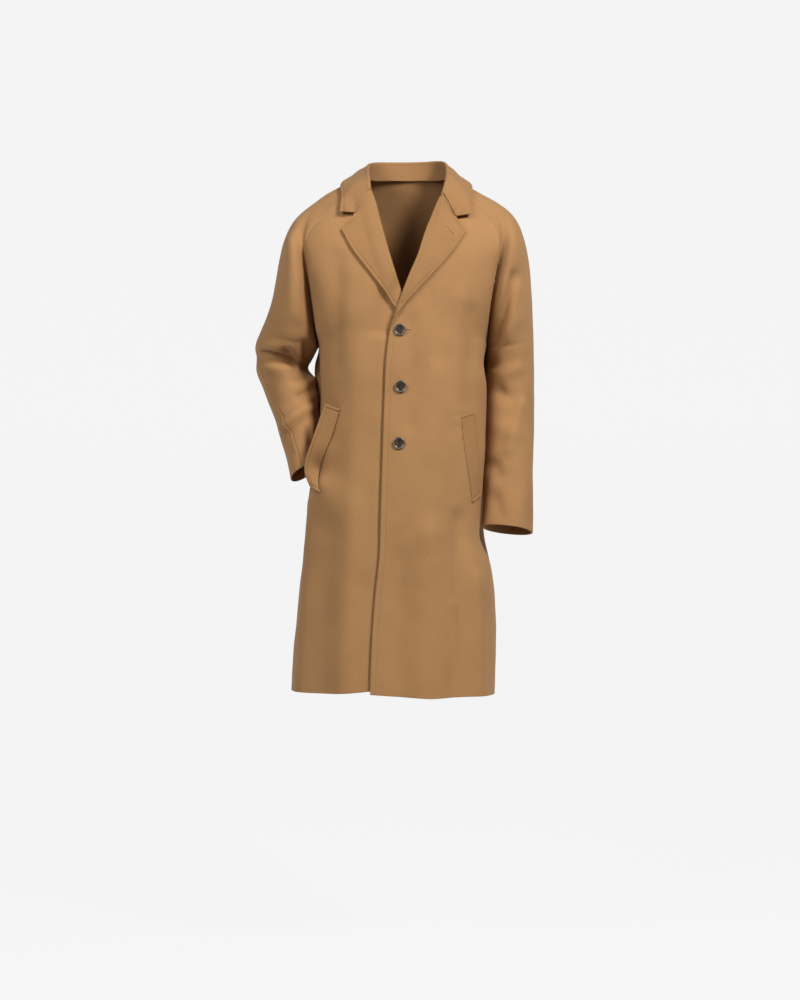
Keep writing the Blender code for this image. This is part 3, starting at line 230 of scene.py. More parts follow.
SLEEVE_FRONT_FOLDS = table("""
    x0 z0 x1 z1 width raise
    -238 -110 -225 -290 16    5   -310 -352 -230 -362 13   -8   -312 -378 -240 -398 14  4.5
    -262 -514 -192 -462 13    5   -250 -470 -210 -435 13 -4.5    238 -180  182 -348 14   -6
     240 -270  200 -340 16    5    190 -404  250 -380 14    4    186 -430  232 -452 15   -6
     172 -580  204 -620 16   -5    186 -500  240 -530 18    4
     -306 -350 -277 -362 5.5  -8    -279 -362 -224 -377 6.5 -11    -256 -345 -226 -369   5  -5
     -300 -338 -250 -352  11   4    -296 -374 -240 -388  11   4    -206 -330 -196 -392  15 -15
     -190 -398 -238 -412   9  -6    -186 -424 -226 -446  10  -5    -257 -518 -224 -476   8   5
     -224 -476 -186 -464   8   4    -245 -528 -205 -490   9  -4    -222 -560 -202 -596   9  -3
    226.5 -190  184 -338  10  -8     237 -210  206 -320  11 4.5     178 -350  182 -384  11 -12
      184 -430  208 -440  15  -6     244 -446  212 -566  12   5     178 -578  192 -590  15  -6
      182 -640  200 -700  14  -4
""")
SLEEVE_BACK_FOLDS = table("""
    x0 z0 x1 z1 width raise
    -310 -330 -240 -350 12 -6   -300 -420 -230 -400 12  5    250 -360  190 -380 12 -6
     255 -430  190 -460 14  5    240 -600  190 -560 14 -5
""")


def smooth(x, y, at):
    """Cubic pieces through the points (x, y), at the places `at`."""
    x, y, at = np.asarray(x, float), np.asarray(y, float), np.asarray(at, float)
    wide = (1,) * (y.ndim - 1)
    gap = np.diff(x).reshape((-1,) + wide)
    rise = np.diff(y, axis=0) / gap
    slope = np.empty_like(y)
    slope[1:-1] = (rise[:-1] * gap[1:] + rise[1:] * gap[:-1]) / (gap[1:] + gap[:-1])
    slope[0] = 1.5 * rise[0] - 0.5 * slope[1]
    slope[-1] = 1.5 * rise[-1] - 0.5 * slope[-2]
    i = np.clip(np.searchsorted(x, at) - 1, 0, len(x) - 2)
    h = (x[i + 1] - x[i]).reshape(at.shape + wide)
    t = np.clip((at - x[i]) / (x[i + 1] - x[i]), 0, 1).reshape(at.shape + wide)
    near = y[i] * (1 + 2 * t) * (1 - t) ** 2 + slope[i] * h * t * (1 - t) ** 2
    return near + y[i + 1] * t * t * (3 - 2 * t) + slope[i + 1] * h * t * t * (t - 1)


def column(data, name, at, key="z"):
    return smooth(data[key], data[name], np.atleast_1d(at))


def point_columns(data, stem):
    return np.stack([data[f"{stem}_{axis}"] for axis in "xyz"], axis=1)


def bezier(p0, p1, p2, p3, t):
    t = np.asarray(t, float)[:, None]
    return p0 * (1 - t) ** 3 + 3 * p1 * t * (1 - t) ** 2 + 3 * p2 * t * t * (1 - t) + p3 * t**3


def ease(x):
    x = np.clip(x, 0, 1)
    return x * x * (3 - 2 * x)


def unit(v):
    return v / np.maximum(np.linalg.norm(v, axis=-1, keepdims=True), 1e-12)


# ---- Sleeve seams


def ring_of(centre, half_width, half_depth, tilt, lean, seam, side):
    """Overarm point, underarm point and front reach of one sleeve ring."""
    tilt, lean, seam = np.radians((tilt, lean, seam))
    out = np.array([side * np.cos(lean), 0, np.sin(lean)])
    ahead = np.array([0, -np.cos(tilt), np.sin(tilt)])
    arm = half_width * np.cos(seam) * out + half_depth * np.sin(seam) * ahead
    reach = -half_width * np.sin(seam) * out + half_depth * np.cos(seam) * ahead
    return centre + arm, centre - arm, reach


BACK_REACH = 1.15        # the back of a cap reaches this much further from the overarm seam than the front
BACK_LEAVE = (1.0, -0.9, 1.0)     # how a sleeve leaves the back raglan seam, by how it leaves the front one


def sleeve_tables(side):
    """Rows over, front, back, and the four reaches, for every step from neck to cuff."""
    cap = CAP_RIGHT if side == RIGHT else CAP_LEFT
    rings = RINGS_RIGHT if side == RIGHT else RINGS_LEFT
    over, front, back = (point_columns(cap, stem) for stem in ("over", "front", "back"))
    leave = point_columns(cap, "leave")
    slope = unit(np.gradient(over, axis=0))
    straight = np.array([0.0, -1, 0]) - slope * -slope[:, 1:2]
    over_front = unit(straight) * cap["over_reach"][:, None]
    over_back = -over_front * BACK_REACH
    leave_back = leave * BACK_LEAVE
    rows = [list(r) for r in zip(over, front, back, over_front, over_back, leave, leave_back)]
    under = np.array(UNDERARM[side])
    half_width, half_depth, lean, tilt = UNDERARM_RING[side]
    centre = under + half_width * np.array([side * np.cos(np.radians(lean)), 0, np.sin(np.radians(lean))])
    made = [ring_of(centre, half_width, half_depth, tilt, lean, 0, side)]
    for _, x, y, z, *sizes in zip(*rings.values()):
        made.append(ring_of(np.array([x, y, z]), *sizes, side))
    for top, low, reach in made:
        rows.append([top, low, low, reach * 4 / 3, reach * -4 / 3, reach * 4 / 3, reach * -4 / 3])
    return np.array(rows)       # steps x 7 x 3


SLEEVE = {side: sleeve_tables(side) for side in (RIGHT, LEFT)}
LAST_STEP = CAP_STEPS + len(RINGS_RIGHT["step"])     # the cuff


def sleeve_at(side, step):
    rows, step = SLEEVE[side], np.atleast_1d(step)
    found = smooth(np.arange(len(rows)), rows, step)
    # The two raglan seams meet at the underarm and go on as one seam.
    cap, low = rows[:CAP_STEPS + 1, 1:3], rows[CAP_STEPS:, 1:3]
    above = step <= CAP_STEPS
    found[above, 1:3] = smooth(np.arange(CAP_STEPS + 1), cap, step[above])
    found[~above, 1:3] = smooth(np.arange(CAP_STEPS, len(rows)), low, step[~above])
    return found


SEAM_POINTS = 3000
SECTION_POINTS = 400


def raglan_fine(side, which):
    step = np.linspace(0, CAP_STEPS, SEAM_POINTS)
    return step, sleeve_at(side, step)[:, which]


FINE = {(side, which): raglan_fine(side, which) for side in (RIGHT, LEFT) for which in (1, 2)}


def whole_section(side, z, back):
    """Four control points of a half section that goes right round to the side, for heights z."""
    name = "right" if side == RIGHT else "left"
    depth, turn = ("back_y", f"{name}_back") if back else ("front_y", f"{name}_turn")
    mid = np.stack([column(BODY, "centre_x", z), column(BODY, depth, z), z], axis=1)
    end = np.stack([column(BODY, f"{name}_x", z), column(BODY, "side_y", z), z], axis=1)
    turn = np.radians(column(BODY, turn, z))
    direction = np.stack([side * np.sin(turn), np.cos(turn) * (1 if back else -1), 0 * turn], axis=1)
    across, deep = np.abs(end[:, 0] - mid[:, 0]), np.abs(end[:, 1] - mid[:, 1])
    p1 = mid + np.stack([side * 0.60 * across, 0 * z, 0 * z], axis=1)
    return mid, p1, end + direction * (column(BODY, "full", z) * deep)[:, None], end


def half_section(side, z, back=False):
    """Four control points of the front or back half section on one side, for heights z."""
    z = np.atleast_1d(z)
    p0, p1, p2, p3 = whole_section(side, z, back)
    which = 2 if back else 1
    steps, seam_line = FINE[side, which]
    share = np.linspace(0.2, 1, 801)
    for k in np.flatnonzero(z > UNDERARM[side][2]):
        step = np.interp(-z[k], -seam_line[:, 2], steps)
        seam = sleeve_at(side, step)[0, which]
        line = bezier(p0[k], p1[k], p2[k], p3[k], share)
        t = share[np.linalg.norm((line - seam)[:, :2], axis=1).argmin()]
        # The section is cut at its nearest point to the raglan seam, then moved to meet it.
        a, b, c = (u + (v - u) * t for u, v in ((p0[k], p1[k]), (p1[k], p2[k]), (p2[k], p3[k])))
        d, e = a + (b - a) * t, b + (c - b) * t
        p1[k], p2[k], p3[k] = a, d + seam - (d + (e - d) * t), seam
    return p0, p1, p2, p3


def front_halves(z, t):
    """The right and left half of the front section at height z, at the shares t of each."""
    return (bezier(*(p[0] for p in half_section(side, z)), t) for side in (RIGHT, LEFT))


def front_section(z):
    """The front section at height z between its outermost points, and each point's share of its half."""
    right, left = front_halves(z, np.linspace(0, 1, SECTION_POINTS))
    line = np.concatenate([right[::-1], left[1:]])
    ahead = slice(line[:, 0].argmin(), line[:, 0].argmax() + 1)
    return line[ahead], np.linspace(-1, 1, 2 * SECTION_POINTS - 1)[ahead]


# ---- Folds


def bump(distance, at, width):
    return np.exp(-(((distance - at) / width) ** 2))


def fold_height(points, folds, faces):
    """Height of the folds at points, where faces is how much each point faces the fold's side, 0 to 1."""
    total = np.zeros(points.shape[:-1])
    flat = points[..., [0, 2]]
    for x0, z0, x1, z1, width, up in zip(*folds.values()):
        start, run = np.array([x0, z0]), np.array([x1 - x0, z1 - z0])
        t = ((flat - start) @ run) / (run @ run)
        away = np.linalg.norm(flat - start - np.clip(t, 0, 1)[..., None] * run, axis=-1)
        # A fold fades out at its ends, apart from one that runs off the hem.
        fade = np.sqrt(run @ run) / (2.2 * width)
        far = ease((1 - t) * fade + 0.4) if z1 > HEM_Z + 0.001 else 1
        total = total + up * bump(away, 0, width) * ease(t * fade + 0.4) * far
    return total * faces


def facing(normals, back=False):
    """How much the cloth faces forward, or back, 0 to 1."""
    return ease((normals[..., 1] if back else -normals[..., 1]) * 1.6 + 0.1)


def waves(points):
    """Soft unevenness of heavy cloth, a little under a millimetre, the same on both sides of every seam."""
    x, y, z = points[..., 0], points[..., 1], points[..., 2]
    around = x + 0.6 * y
    return sum(size * np.sin(across * around + along * z + start) for size, across, along, start in WAVES)


# Height, waves around and along in radians a metre, and start.
WAVES = (
    (0.00045, 38.0, 9.0, 0.4), (0.00035, -61.0, 21.0, 1.9), (0.00030, 83.0, 34.0, 4.1),
    (0.00022, 24.0, -57.0, 2.6), (0.00018, -110.0, 48.0, 5.2), (0.00014, 66.0, 95.0, 0.9),
)


# How far before the left front's edge the right front and right lapel begin to sink, and over what width.
FRONT_COVER, LAPEL_COVER = (0.066, 0.044), (0.045, 0.033)
BETWEEN_LOW, BETWEEN_TOP = -0.335, -0.19     # heights between which the right lapel is between the fronts


def front_layer(x, z, lapel=False):
    """How far the right front, or the right lapel on it, lies inside the common front surface."""
    start, width = LAPEL_COVER if lapel else FRONT_COVER
    cover = ease((x - (column(EDGE_LEFT, "x", z) - start)) / width)
    with_lapel = ease((z - BETWEEN_LOW) / 0.025) * ease((BETWEEN_TOP - z) / 0.04)
    return cover * (UNDER_GAP + with_lapel * LAPEL_UNDER)


# Deep folds beside the raglan seams, where the sleeves hang against the body. away: how far from the seam
# the bottom is, on the sleeve. inner, outer: width of the wall on the body's side and on the sleeve's side.
VALLEY_RIGHT = table("""
    step away depth inner outer
    3.2 46  0  14 16     4 30  4  12 16   4.6 19  8  10 16   5.2 12 12   8 15     6  6 17 6.5 14
      7  4 21   6 14     8  3 24   6 15     9  3 24   6 17    10  2 18   6 18    11  0  0   6 18
""")
VALLEY_LEFT = table("""
    step away depth inner outer
      3 42    0  14 14   3.8 26    5  12 14   4.4 14   10   8 14     5  8   12   7 13     6  4 14.5   6 13
      7  2 15.5 5.5 13     8  1 16.5 5.5 14     9  1 16.5 5.5 16    10  0   13   6 16    11  0    0   6 16
""")
VALLEY_BACK = table("""
    step away depth inner outer
    3.5 30  0 12 16     5 12  6 10 16     7  4 12  8 15     9  2 13  8 16    11  0  0  8 16
""")


def kind_of(name):
    return name.removesuffix("_left").removesuffix("_right")


def valley(data, steps, out):
    """Height of a deep fold at distances out from the raglan seam, positive on the sleeve."""
    inside = (steps > data["step"][0]) & (steps < data["step"][-1])
    away, depth, inner, outer = (smooth(data["step"], data[key], steps)[:, None] for key in list(data)[1:])
    return -depth * bump(out, away, np.where(out > away, outer, inner)) * inside[:, None]


def add_valleys(name, panel):
    """Presses the deep folds of the raglan seams into a panel, the same way on both sides of each seam."""
    front = VALLEY_RIGHT if name.endswith("right") else VALLEY_LEFT
    seams = {
        "back": [(VALLEY_BACK, "near", 0, -1), (VALLEY_BACK, "far", -1, -1)],
        "sleeve_back": [(VALLEY_BACK, "far", -1, 1)],
        "sleeve_front": [(front, "far", -1, 1)],
        "front": [(front, "far", -1, -1)],
    }
    for data, key, at, sign in seams[kind_of(name)]:
        height = valley(data, np.clip(panel["steps"], data["step"][0], data["step"][-1]), sign * panel[key])
        panel["grid"] = panel["grid"] + panel["normals"][:, at][:, None] * height[..., None]


# Raised lines along seams: height, distance from the seam, and width.
FAR_MARK = (0.0009, 0.0036, 0.0020)
NEAR_MARKS = {
    "sleeve_back": (0.0012, 0.0038, 0.0024),
    "sleeve_front": (0.0004, 0.0045, 0.0028),
    "back": (0.0006, 0.0036, 0.0022),
}
FRONT_PRESS = 0.00090    # depth of the line of stitching along the front edge
FRONT_LIP = 0.00045      # and how much the strip outside it stands up


def seam_marks(name, panel):
    """Raised and sunken lines along seams and edges."""
    size, at, width = FAR_MARK
    height = size * bump(panel["far"], at, width)
    if name.startswith("front"):
        lip = FRONT_LIP * ease((FRONT_TOPSTITCH - panel["near"]) / 0.0018)
        return height - FRONT_PRESS * bump(panel["near"], FRONT_TOPSTITCH, 0.0011) + lip
    size, at, width = NEAR_MARKS[kind_of(name)]
    return height + size * bump(panel["near"], at, width)


DIP_TOP = -0.300         # the dip beside the left front's edge is below this height


def overlap_dip(x, z):
    """The right front lies deeper just beyond the edge of the left front."""
    edge = column(EDGE_LEFT, "x", z)
    return -OVERLAP_DIP * bump(x - edge, -0.002, 0.0058) * ease((DIP_TOP - z) / 0.03)


WELT_BEDS = {RIGHT: (0.0012, 0.0040), LEFT: (0.0026, 0.0025)}     # height, and width over which it rises


def welt_bed(x, z, side):
    """The front is a little thicker beside the seam of a pocket welt, and clear under the welt."""
    data = WELT_RIGHT if side == RIGHT else WELT_LEFT
    height, width = WELT_BEDS[side]
    top, low = data["seam_z"][0], data["seam_z"][-1]
    away = -side * (x - smooth(-data["seam_z"], data["seam_x"], np.clip(-z, -top, -low)))
    ends = ease((top - z) / 0.006) * ease((z - low) / 0.012)
    return height * ease((away + 0.0005) / width) * bump(np.maximum(away, 0), 0, 0.014) * ends


# How far, at what height and over what width cloth is pushed out of the bent elbow.
ELBOW_BULGES = ((0.0070, -0.402, 0.012), (0.0055, -0.497, 0.018))
ELBOW_X = -0.235         # only the side of the arm towards the body is pushed out


def elbow_bulge(x, z):
    """Cloth pushed out of the bent elbow, above and below it, towards the body."""
    return sum(size * bump(z, at, width) for size, at, width in ELBOW_BULGES) * ease((x - ELBOW_X) / 0.030)


SEAM_FADE = 0.12         # share of a panel's width over which its folds fade towards the raglan seam


def fold_panel(name, panel):
    """Lays folds, waves and the marks of seams into a panel."""
    grid, normals = panel["grid"], panel["normals"]
    sleeve = name.startswith("sleeve")
    if sleeve and name.endswith("right"):
        grid = grid + elbow_bulge(grid[..., 0], grid[..., 2])[..., None] * np.array([1.0, 0, 0])
    ahead, behind = (SLEEVE_FRONT_FOLDS, SLEEVE_BACK_FOLDS) if sleeve else (FRONT_FOLDS, BACK_FOLDS)
    height = fold_height(grid, ahead, facing(normals))
    height = height + fold_height(grid, behind, facing(normals, back=True))
    fade = 1 - (1 - ease((1 - panel["share"]) / SEAM_FADE)) * panel["cap"][:, None]
    height = (height + waves(grid)) * fade
    x, z = grid[..., 0], grid[..., 2]
    if name == "front_right":
        height = height - front_layer(x, z) + overlap_dip(x, z)
    if name.startswith("front"):
        height = height + welt_bed(x, z, panel["sign"])
    panel["grid"] = grid + normals * (height + seam_marks(name, panel))[..., None]
    add_valleys(name, panel)


def level_hem(grid, hem):
    """Moves the lower part of a panel so that its hem follows the hem table."""
    share = ease((LEVEL_TOP - grid[..., 2]) / (LEVEL_TOP - HEM_Z))
    at = np.clip(grid[..., 0], hem["x"][0], hem["x"][-1])
    grid[..., 2] += (smooth(hem["x"], hem["z"], at) - HEM_Z) * share
    return grid


# ---- Grids


def grid_normals(grid, sign):
    return sign * unit(np.cross(np.gradient(grid, axis=1), np.gradient(grid, axis=0)))


def boundary(grid):
    rows, columns = grid.shape[:2]
    found = [(0, c) for c in range(columns)] + [(rows - 1, c) for c in range(columns)]
    return found + [(r, c) for r in range(1, rows - 1) for c in (0, columns - 1)]


def tree_of(points):
    tree = kdtree.KDTree(len(points))
    for i, point in enumerate(points):
        tree.insert(point, i)
    tree.balance()
    return tree


def share_normals(panels):
    """Gives the points that panels have in common along a seam one normal."""
    marks = [(name, at) for name, panel in panels.items() for at in boundary(panel["grid"])]
    points = [panels[name]["grid"][at] for name, at in marks]
    normals = np.array([panels[name]["normals"][at] for name, at in marks])
    tree = tree_of(points)
    shared = [unit(sum(normals[j] for _, j, _ in tree.find_range(point, SEAM_REACH))) for point in points]
    for (name, at), point, normal in zip(marks, points, shared):
        # Where body and sleeve seams cross under the arm, the outside is below.
        crossing = any(np.linalg.norm(point - under) < 0.001 for under in UNDERARM.values())
        panels[name]["normals"][at] = (0, 0, -1) if crossing else normal


def quads_of(index, wrap=False):
    """Faces between neighbours in a grid of point numbers, round its columns if it wraps."""
    if wrap:
        index = np.concatenate([index, index[:, :1]], axis=1)
    return np.stack([index[:-1, :-1], index[1:, :-1], index[1:, 1:], index[:-1, 1:]], axis=-1).reshape(-1, 4)


def surface_of(panels):
    """The outer faces of panels, for finding the place nearest to a point."""
    points, faces = [], []
    for panel in panels:
        rows, columns = panel["grid"].shape[:2]
        quads = quads_of(np.arange(rows * columns).reshape(rows, columns) + len(points))
        faces += (quads if panel["sign"] < 0 else quads[:, ::-1]).tolist()
        points += panel["grid"].reshape(-1, 3).tolist()
    return bvhtree.BVHTree.FromPolygons(points, faces)


def soften(values, times):
    """Evens out a grid of values."""
    for _ in range(times):
        for axis in (0, 1):
            pads = [(1, 1) if a == axis else (0, 0) for a in range(values.ndim)]
            padded = np.pad(values, pads, mode="edge")
            low, mid, high = (np.take(padded, np.arange(k, k + values.shape[axis]), axis) for k in (0, 1, 2))
            values = 0.25 * low + 0.5 * mid + 0.25 * high
    return values


def lifted(grid, along, surface, lift, away=0.004, reach=4, times=10):
    """Moves a grid out along the given directions, softly, until it clears a surface by lift."""
    need = np.zeros(grid.shape[:2])
    for at in np.ndindex(need.shape):
        place, normal, _, _ = surface.find_nearest(grid[at])
        offset, normal = grid[at] - np.array(place), np.array(normal)
        above = offset @ normal
        beside = np.linalg.norm(offset - above * normal)
        if beside < away and above < lift:
            need[at] = (lift - above) / max(normal @ along[at], 0.5)
    wide = np.pad(need, reach, mode="edge")
    rows, columns = need.shape
    shifts = np.ndindex(2 * reach + 1, 2 * reach + 1)
    most = np.max([wide[i:i + rows, j:j + columns] for i, j in shifts], axis=0)
    return grid + soften(along, times) * soften(most, times)[..., None]


def resample(line, share, near, far, count):
    """Points at set distances from a line's ends and evenly between, with their shares and distances."""
    length = np.concatenate([[0], np.cumsum(np.linalg.norm(np.diff(line, axis=0), axis=1))])
    near, far = np.array(near), np.array(far)
    shrink = min(1, 0.7 * length[-1] / (near[-1] + far[-1]))
    near, far = near * shrink, length[-1] - far[::-1] * shrink
    at = np.concatenate([near, np.linspace(near[-1], far[0], count + 2)[1:-1], far])
    points = np.stack([np.interp(at, length, line[:, i]) for i in range(3)], axis=1)
    return points, np.interp(at, length, share), at, length[-1] - at


# ---- Panels


TURN = 0.0010            # how far a seamed edge takes to turn under
EDGE_TURN = 0.0013       # and a free edge
SEAM_GAP = 0.00003       # each panel stops this far short of a seam
SEAM_REACH = 0.0026      # points of two panels this near one another lie on one seam
OVERLAP_DIP = 0.0040     # how much deeper the right front lies at the edge of the left one
LEVEL_TOP = -0.70        # the hem's levels fade out up to here
ROW_STEP = 0.0048
COLUMN_STEP = 0.0030
BACK_STEP = 0.0044
FRONT_WIDTH, BACK_WIDTH, SLEEVE_WIDTH = 0.20, 0.44, 0.15     # rough, for the number of columns
ARM_LENGTH = 0.40        # rough, for the number of rows
CUFF_TURN = 0.02         # part of a step that the cuff's edge takes to turn under
CUFF_ROWS = np.array([0.085, 0.055, 0.025])      # how far before it the last rows are, in steps
CAP_ROWS = 78
CAP_FADE = 1.2           # steps below the caps where their fade of the folds ends
CAP_FROM = -0.411        # height where the folds begin to fade towards the raglan seams
CAP_REACH = 0.076
FRONT_TOPSTITCH = 0.0098
LAPEL_TOPSTITCH = 0.0062
WELT_TOPSTITCH = 0.0066
WELT_PRESS = 0.0014      # depth of that line on a welt
WELT_LIP = 0.0008        # and how much the strip outside it stands up
LAPEL_BREAK = {RIGHT: -0.3060, LEFT: -0.3120}
BREAK_RISE = 0.036       # the front's edge begins to fold this far above the break

# Distances of the first columns from a seam and from the front edge, closest at the marks of stitching.
SEAM_COLUMNS = TURN + SEAM_GAP + np.array([
    0.0, 0.0009, 0.0018, 0.0028, 0.0040, 0.0054, 0.0070, 0.0088, 0.0108, 0.0130, 0.0154, 0.0180, 0.0210,
    0.0245, 0.0285,
])
EDGE_COLUMNS = EDGE_TURN + np.array([
    0.0, 0.0010, 0.0021, 0.0033, 0.0046, 0.0059, 0.0070, 0.0080, 0.0087, 0.0094, 0.0101, 0.0109, 0.0119,
    0.0134, 0.0155, 0.0185,
])


def body_rows(under):
    """Heights of the rows from the hem to the underarm."""
    low = np.array([EDGE_TURN, EDGE_TURN + 0.0012, EDGE_TURN + 0.0028, EDGE_TURN + 0.005])
    return np.concatenate([HEM_Z + low, np.linspace(HEM_Z + 0.010, under, int((under - HEM_Z) / ROW_STEP))])


def panel_rows(side, which):
    """Steps of a body panel's rows, and their heights on one side: from the hem, then up the raglan seam."""
    steps = np.linspace(CAP_STEPS, 0, CAP_ROWS + 1)[1:]
    low = body_rows(UNDERARM[side][2])
    heights = np.concatenate([low, sleeve_at(side, steps)[:, which, 2]])
    return np.concatenate([np.full(len(low), CAP_STEPS), steps]), heights


def fill(lines, near, far, count, **panel):
    """A panel from resampled rows."""
    rows = [resample(line, share, near, far, count) for line, share in lines]
    for key, k in (("grid", 0), ("share", 1), ("near", 2), ("far", 3)):
        panel[key] = np.array([row[k] for row in rows])
    return panel


def front_fine(side):
    edge = EDGE_RIGHT if side == RIGHT else EDGE_LEFT
    steps, heights = panel_rows(side, 1)
    lines = []
    for z in heights:
        line, shares = front_section(z)
        back = LAPEL_BACK * ease((z - LAPEL_BREAK[side] - BREAK_RISE) / 0.014)
        start = np.interp(column(edge, "x", z)[0] + side * back, line[:, 0], shares)
        at = np.linspace(start, side, 500)
        share = np.abs(at)
        right, left = front_halves(z, share)
        lines.append((np.where(at[:, None] < 0, right, left), share))
    count, cap = int(FRONT_WIDTH / COLUMN_STEP), ease((heights - CAP_FROM) / CAP_REACH)
    return fill(lines, EDGE_COLUMNS, SEAM_COLUMNS, count, sign=side, cap=cap, steps=steps)


def back_fine():
    (steps, right), (_, left) = (panel_rows(side, 2) for side in (RIGHT, LEFT))
    t = np.linspace(0, 1, SECTION_POINTS)
    shares = np.concatenate([t[::-1], t[1:]])
    lines = []
    for ends in zip(right, left):
        middle_z = sum(ends) / 2
        middle_y = column(BODY, "back_y", middle_z)[0]
        halves = []
        for side, z in zip((RIGHT, LEFT), ends):
            p0, p1, p2, p3 = (p[0] for p in half_section(side, z, back=True))
            p0, p1 = (np.array([p[0], middle_y, middle_z]) for p in (p0, p1))
            halves.append(bezier(p0, p1, p2, p3, t))
        lines.append((np.concatenate([halves[0][::-1], halves[1][1:]]), shares))
    count, cap = int(BACK_WIDTH / BACK_STEP), ease((right - CAP_FROM) / CAP_REACH)
    return fill(lines, SEAM_COLUMNS, SEAM_COLUMNS, count, sign=-1, cap=cap, steps=steps)


def sleeve_fine(side, back):
    low = np.linspace(CAP_STEPS, LAST_STEP, int(ARM_LENGTH / ROW_STEP))
    cuff = LAST_STEP - CUFF_ROWS - CUFF_TURN
    steps = np.concatenate([np.linspace(0, CAP_STEPS, CAP_ROWS + 1)[:-1], low[:-2], cuff])
    t = np.linspace(0, 1, SECTION_POINTS)
    lines = []
    for over, front, rear, over_front, over_back, leave, leave_back in sleeve_at(side, steps):
        if back:
            lines.append((bezier(over, over + over_back, rear + leave_back, rear, t), t))
        else:
            lines.append((bezier(over, over + over_front, front + leave, front, t), t))
    count, sign = int(SLEEVE_WIDTH / COLUMN_STEP), -side if back else side
    cap = ease((CAP_STEPS + CAP_FADE - steps) / CAP_FADE)
    return fill(lines, SEAM_COLUMNS, SEAM_COLUMNS, count, sign=sign, cap=cap, steps=steps)


def fine_panels():
    """The seven panels of body and sleeves, with their folds."""
    panels = {"back": back_fine()}
    for side, name in ((RIGHT, "right"), (LEFT, "left")):
        panels[f"front_{name}"] = front_fine(side)
        panels[f"sleeve_front_{name}"] = sleeve_fine(side, False)
        panels[f"sleeve_back_{name}"] = sleeve_fine(side, True)
    for name, hem in (("front_right", HEM_RIGHT), ("front_left", HEM_LEFT), ("back", HEM_BACK)):
        level_hem(panels[name]["grid"], hem)
    for change in (None, fold_panel):
        for name, panel in panels.items():
            if change:
                change(name, panel)
            panel["normals"] = grid_normals(panel["grid"], panel["sign"])
        share_normals(panels)
    return panels


# ---- Pieces that lie on the front


MAP_X_STEP, MAP_Z_STEP = 0.002, 0.004
MAP_X = np.arange(-0.25, 0.2501, MAP_X_STEP)
MAP_Z = np.arange(-1.062, 0.0301, MAP_Z_STEP)


def front_map():
    """Depth of the front before folds, at every MAP_Z and MAP_X."""
    rows = []
    for z in MAP_Z:
        line, _ = front_section(z)
        rows.append(np.interp(MAP_X, line[:, 0], line[:, 1]))
    return np.array(rows)


FRONT_MAP = front_map()


def front_y(x, z):
    """Depth of the front at (x, z), before folds, from the map of it."""
    u = np.clip((x - MAP_X[0]) / MAP_X_STEP, 0, len(MAP_X) - 1.001)
    v = np.clip((z - MAP_Z[0]) / MAP_Z_STEP, 0, len(MAP_Z) - 1.001)
    i, j = u.astype(int), v.astype(int)
    u, v = u - i, v - j
    low, high = (FRONT_MAP[k, i] * (1 - u) + FRONT_MAP[k, i + 1] * u for k in (j, j + 1))
    return low * (1 - v) + high * v


def on_front(x, z, lift, layer=0.0, step=0.004):
    """Points above the front, with the front's folds, and their normals."""
    across = (front_y(x + step, z) - front_y(x - step, z)) / (2 * step)
    along = (front_y(x, z + step) - front_y(x, z - step)) / (2 * step)
    flat = np.stack([x, front_y(x, z), z], axis=-1)
    normals = unit(np.stack([across, -np.ones_like(across), along], axis=-1))
    height = waves(flat) + lift - layer + fold_height(flat, FRONT_FOLDS, facing(normals))
    return flat + normals * height[..., None], normals


BREAK_RADIUS = 0.0017    # radius of a lapel's fold at the break
FOLD_RADIUS = 0.00345    # and where it has opened
LAPEL_RISE = 0.0015      # how much higher the lapels lie here, so that their seam with the collar is level
LAPEL_ROLL = 0.0020      # how much a lapel bulges beside its fold
OPEN_RISE = 0.055        # height above the break over which a lapel opens
OPEN_WIDTH = 0.034       # width over which it bulges
LAPEL_ROWS = 178
LAPEL_COLUMNS = 73       # of its open part
BEND_COLUMNS = 13        # round its fold
TIP_ROW = 5              # row of the tip in the tables of outlines


def outline_x(out, z):
    """x of a lapel's outline: a curve up to its tip, then straight lines."""
    curve = smooth(out["z"][:TIP_ROW + 1], out["x"][:TIP_ROW + 1], np.maximum(z, out["z"][0]))
    return np.where(z < out["z"][TIP_ROW], curve, np.interp(z, out["z"], out["x"]))


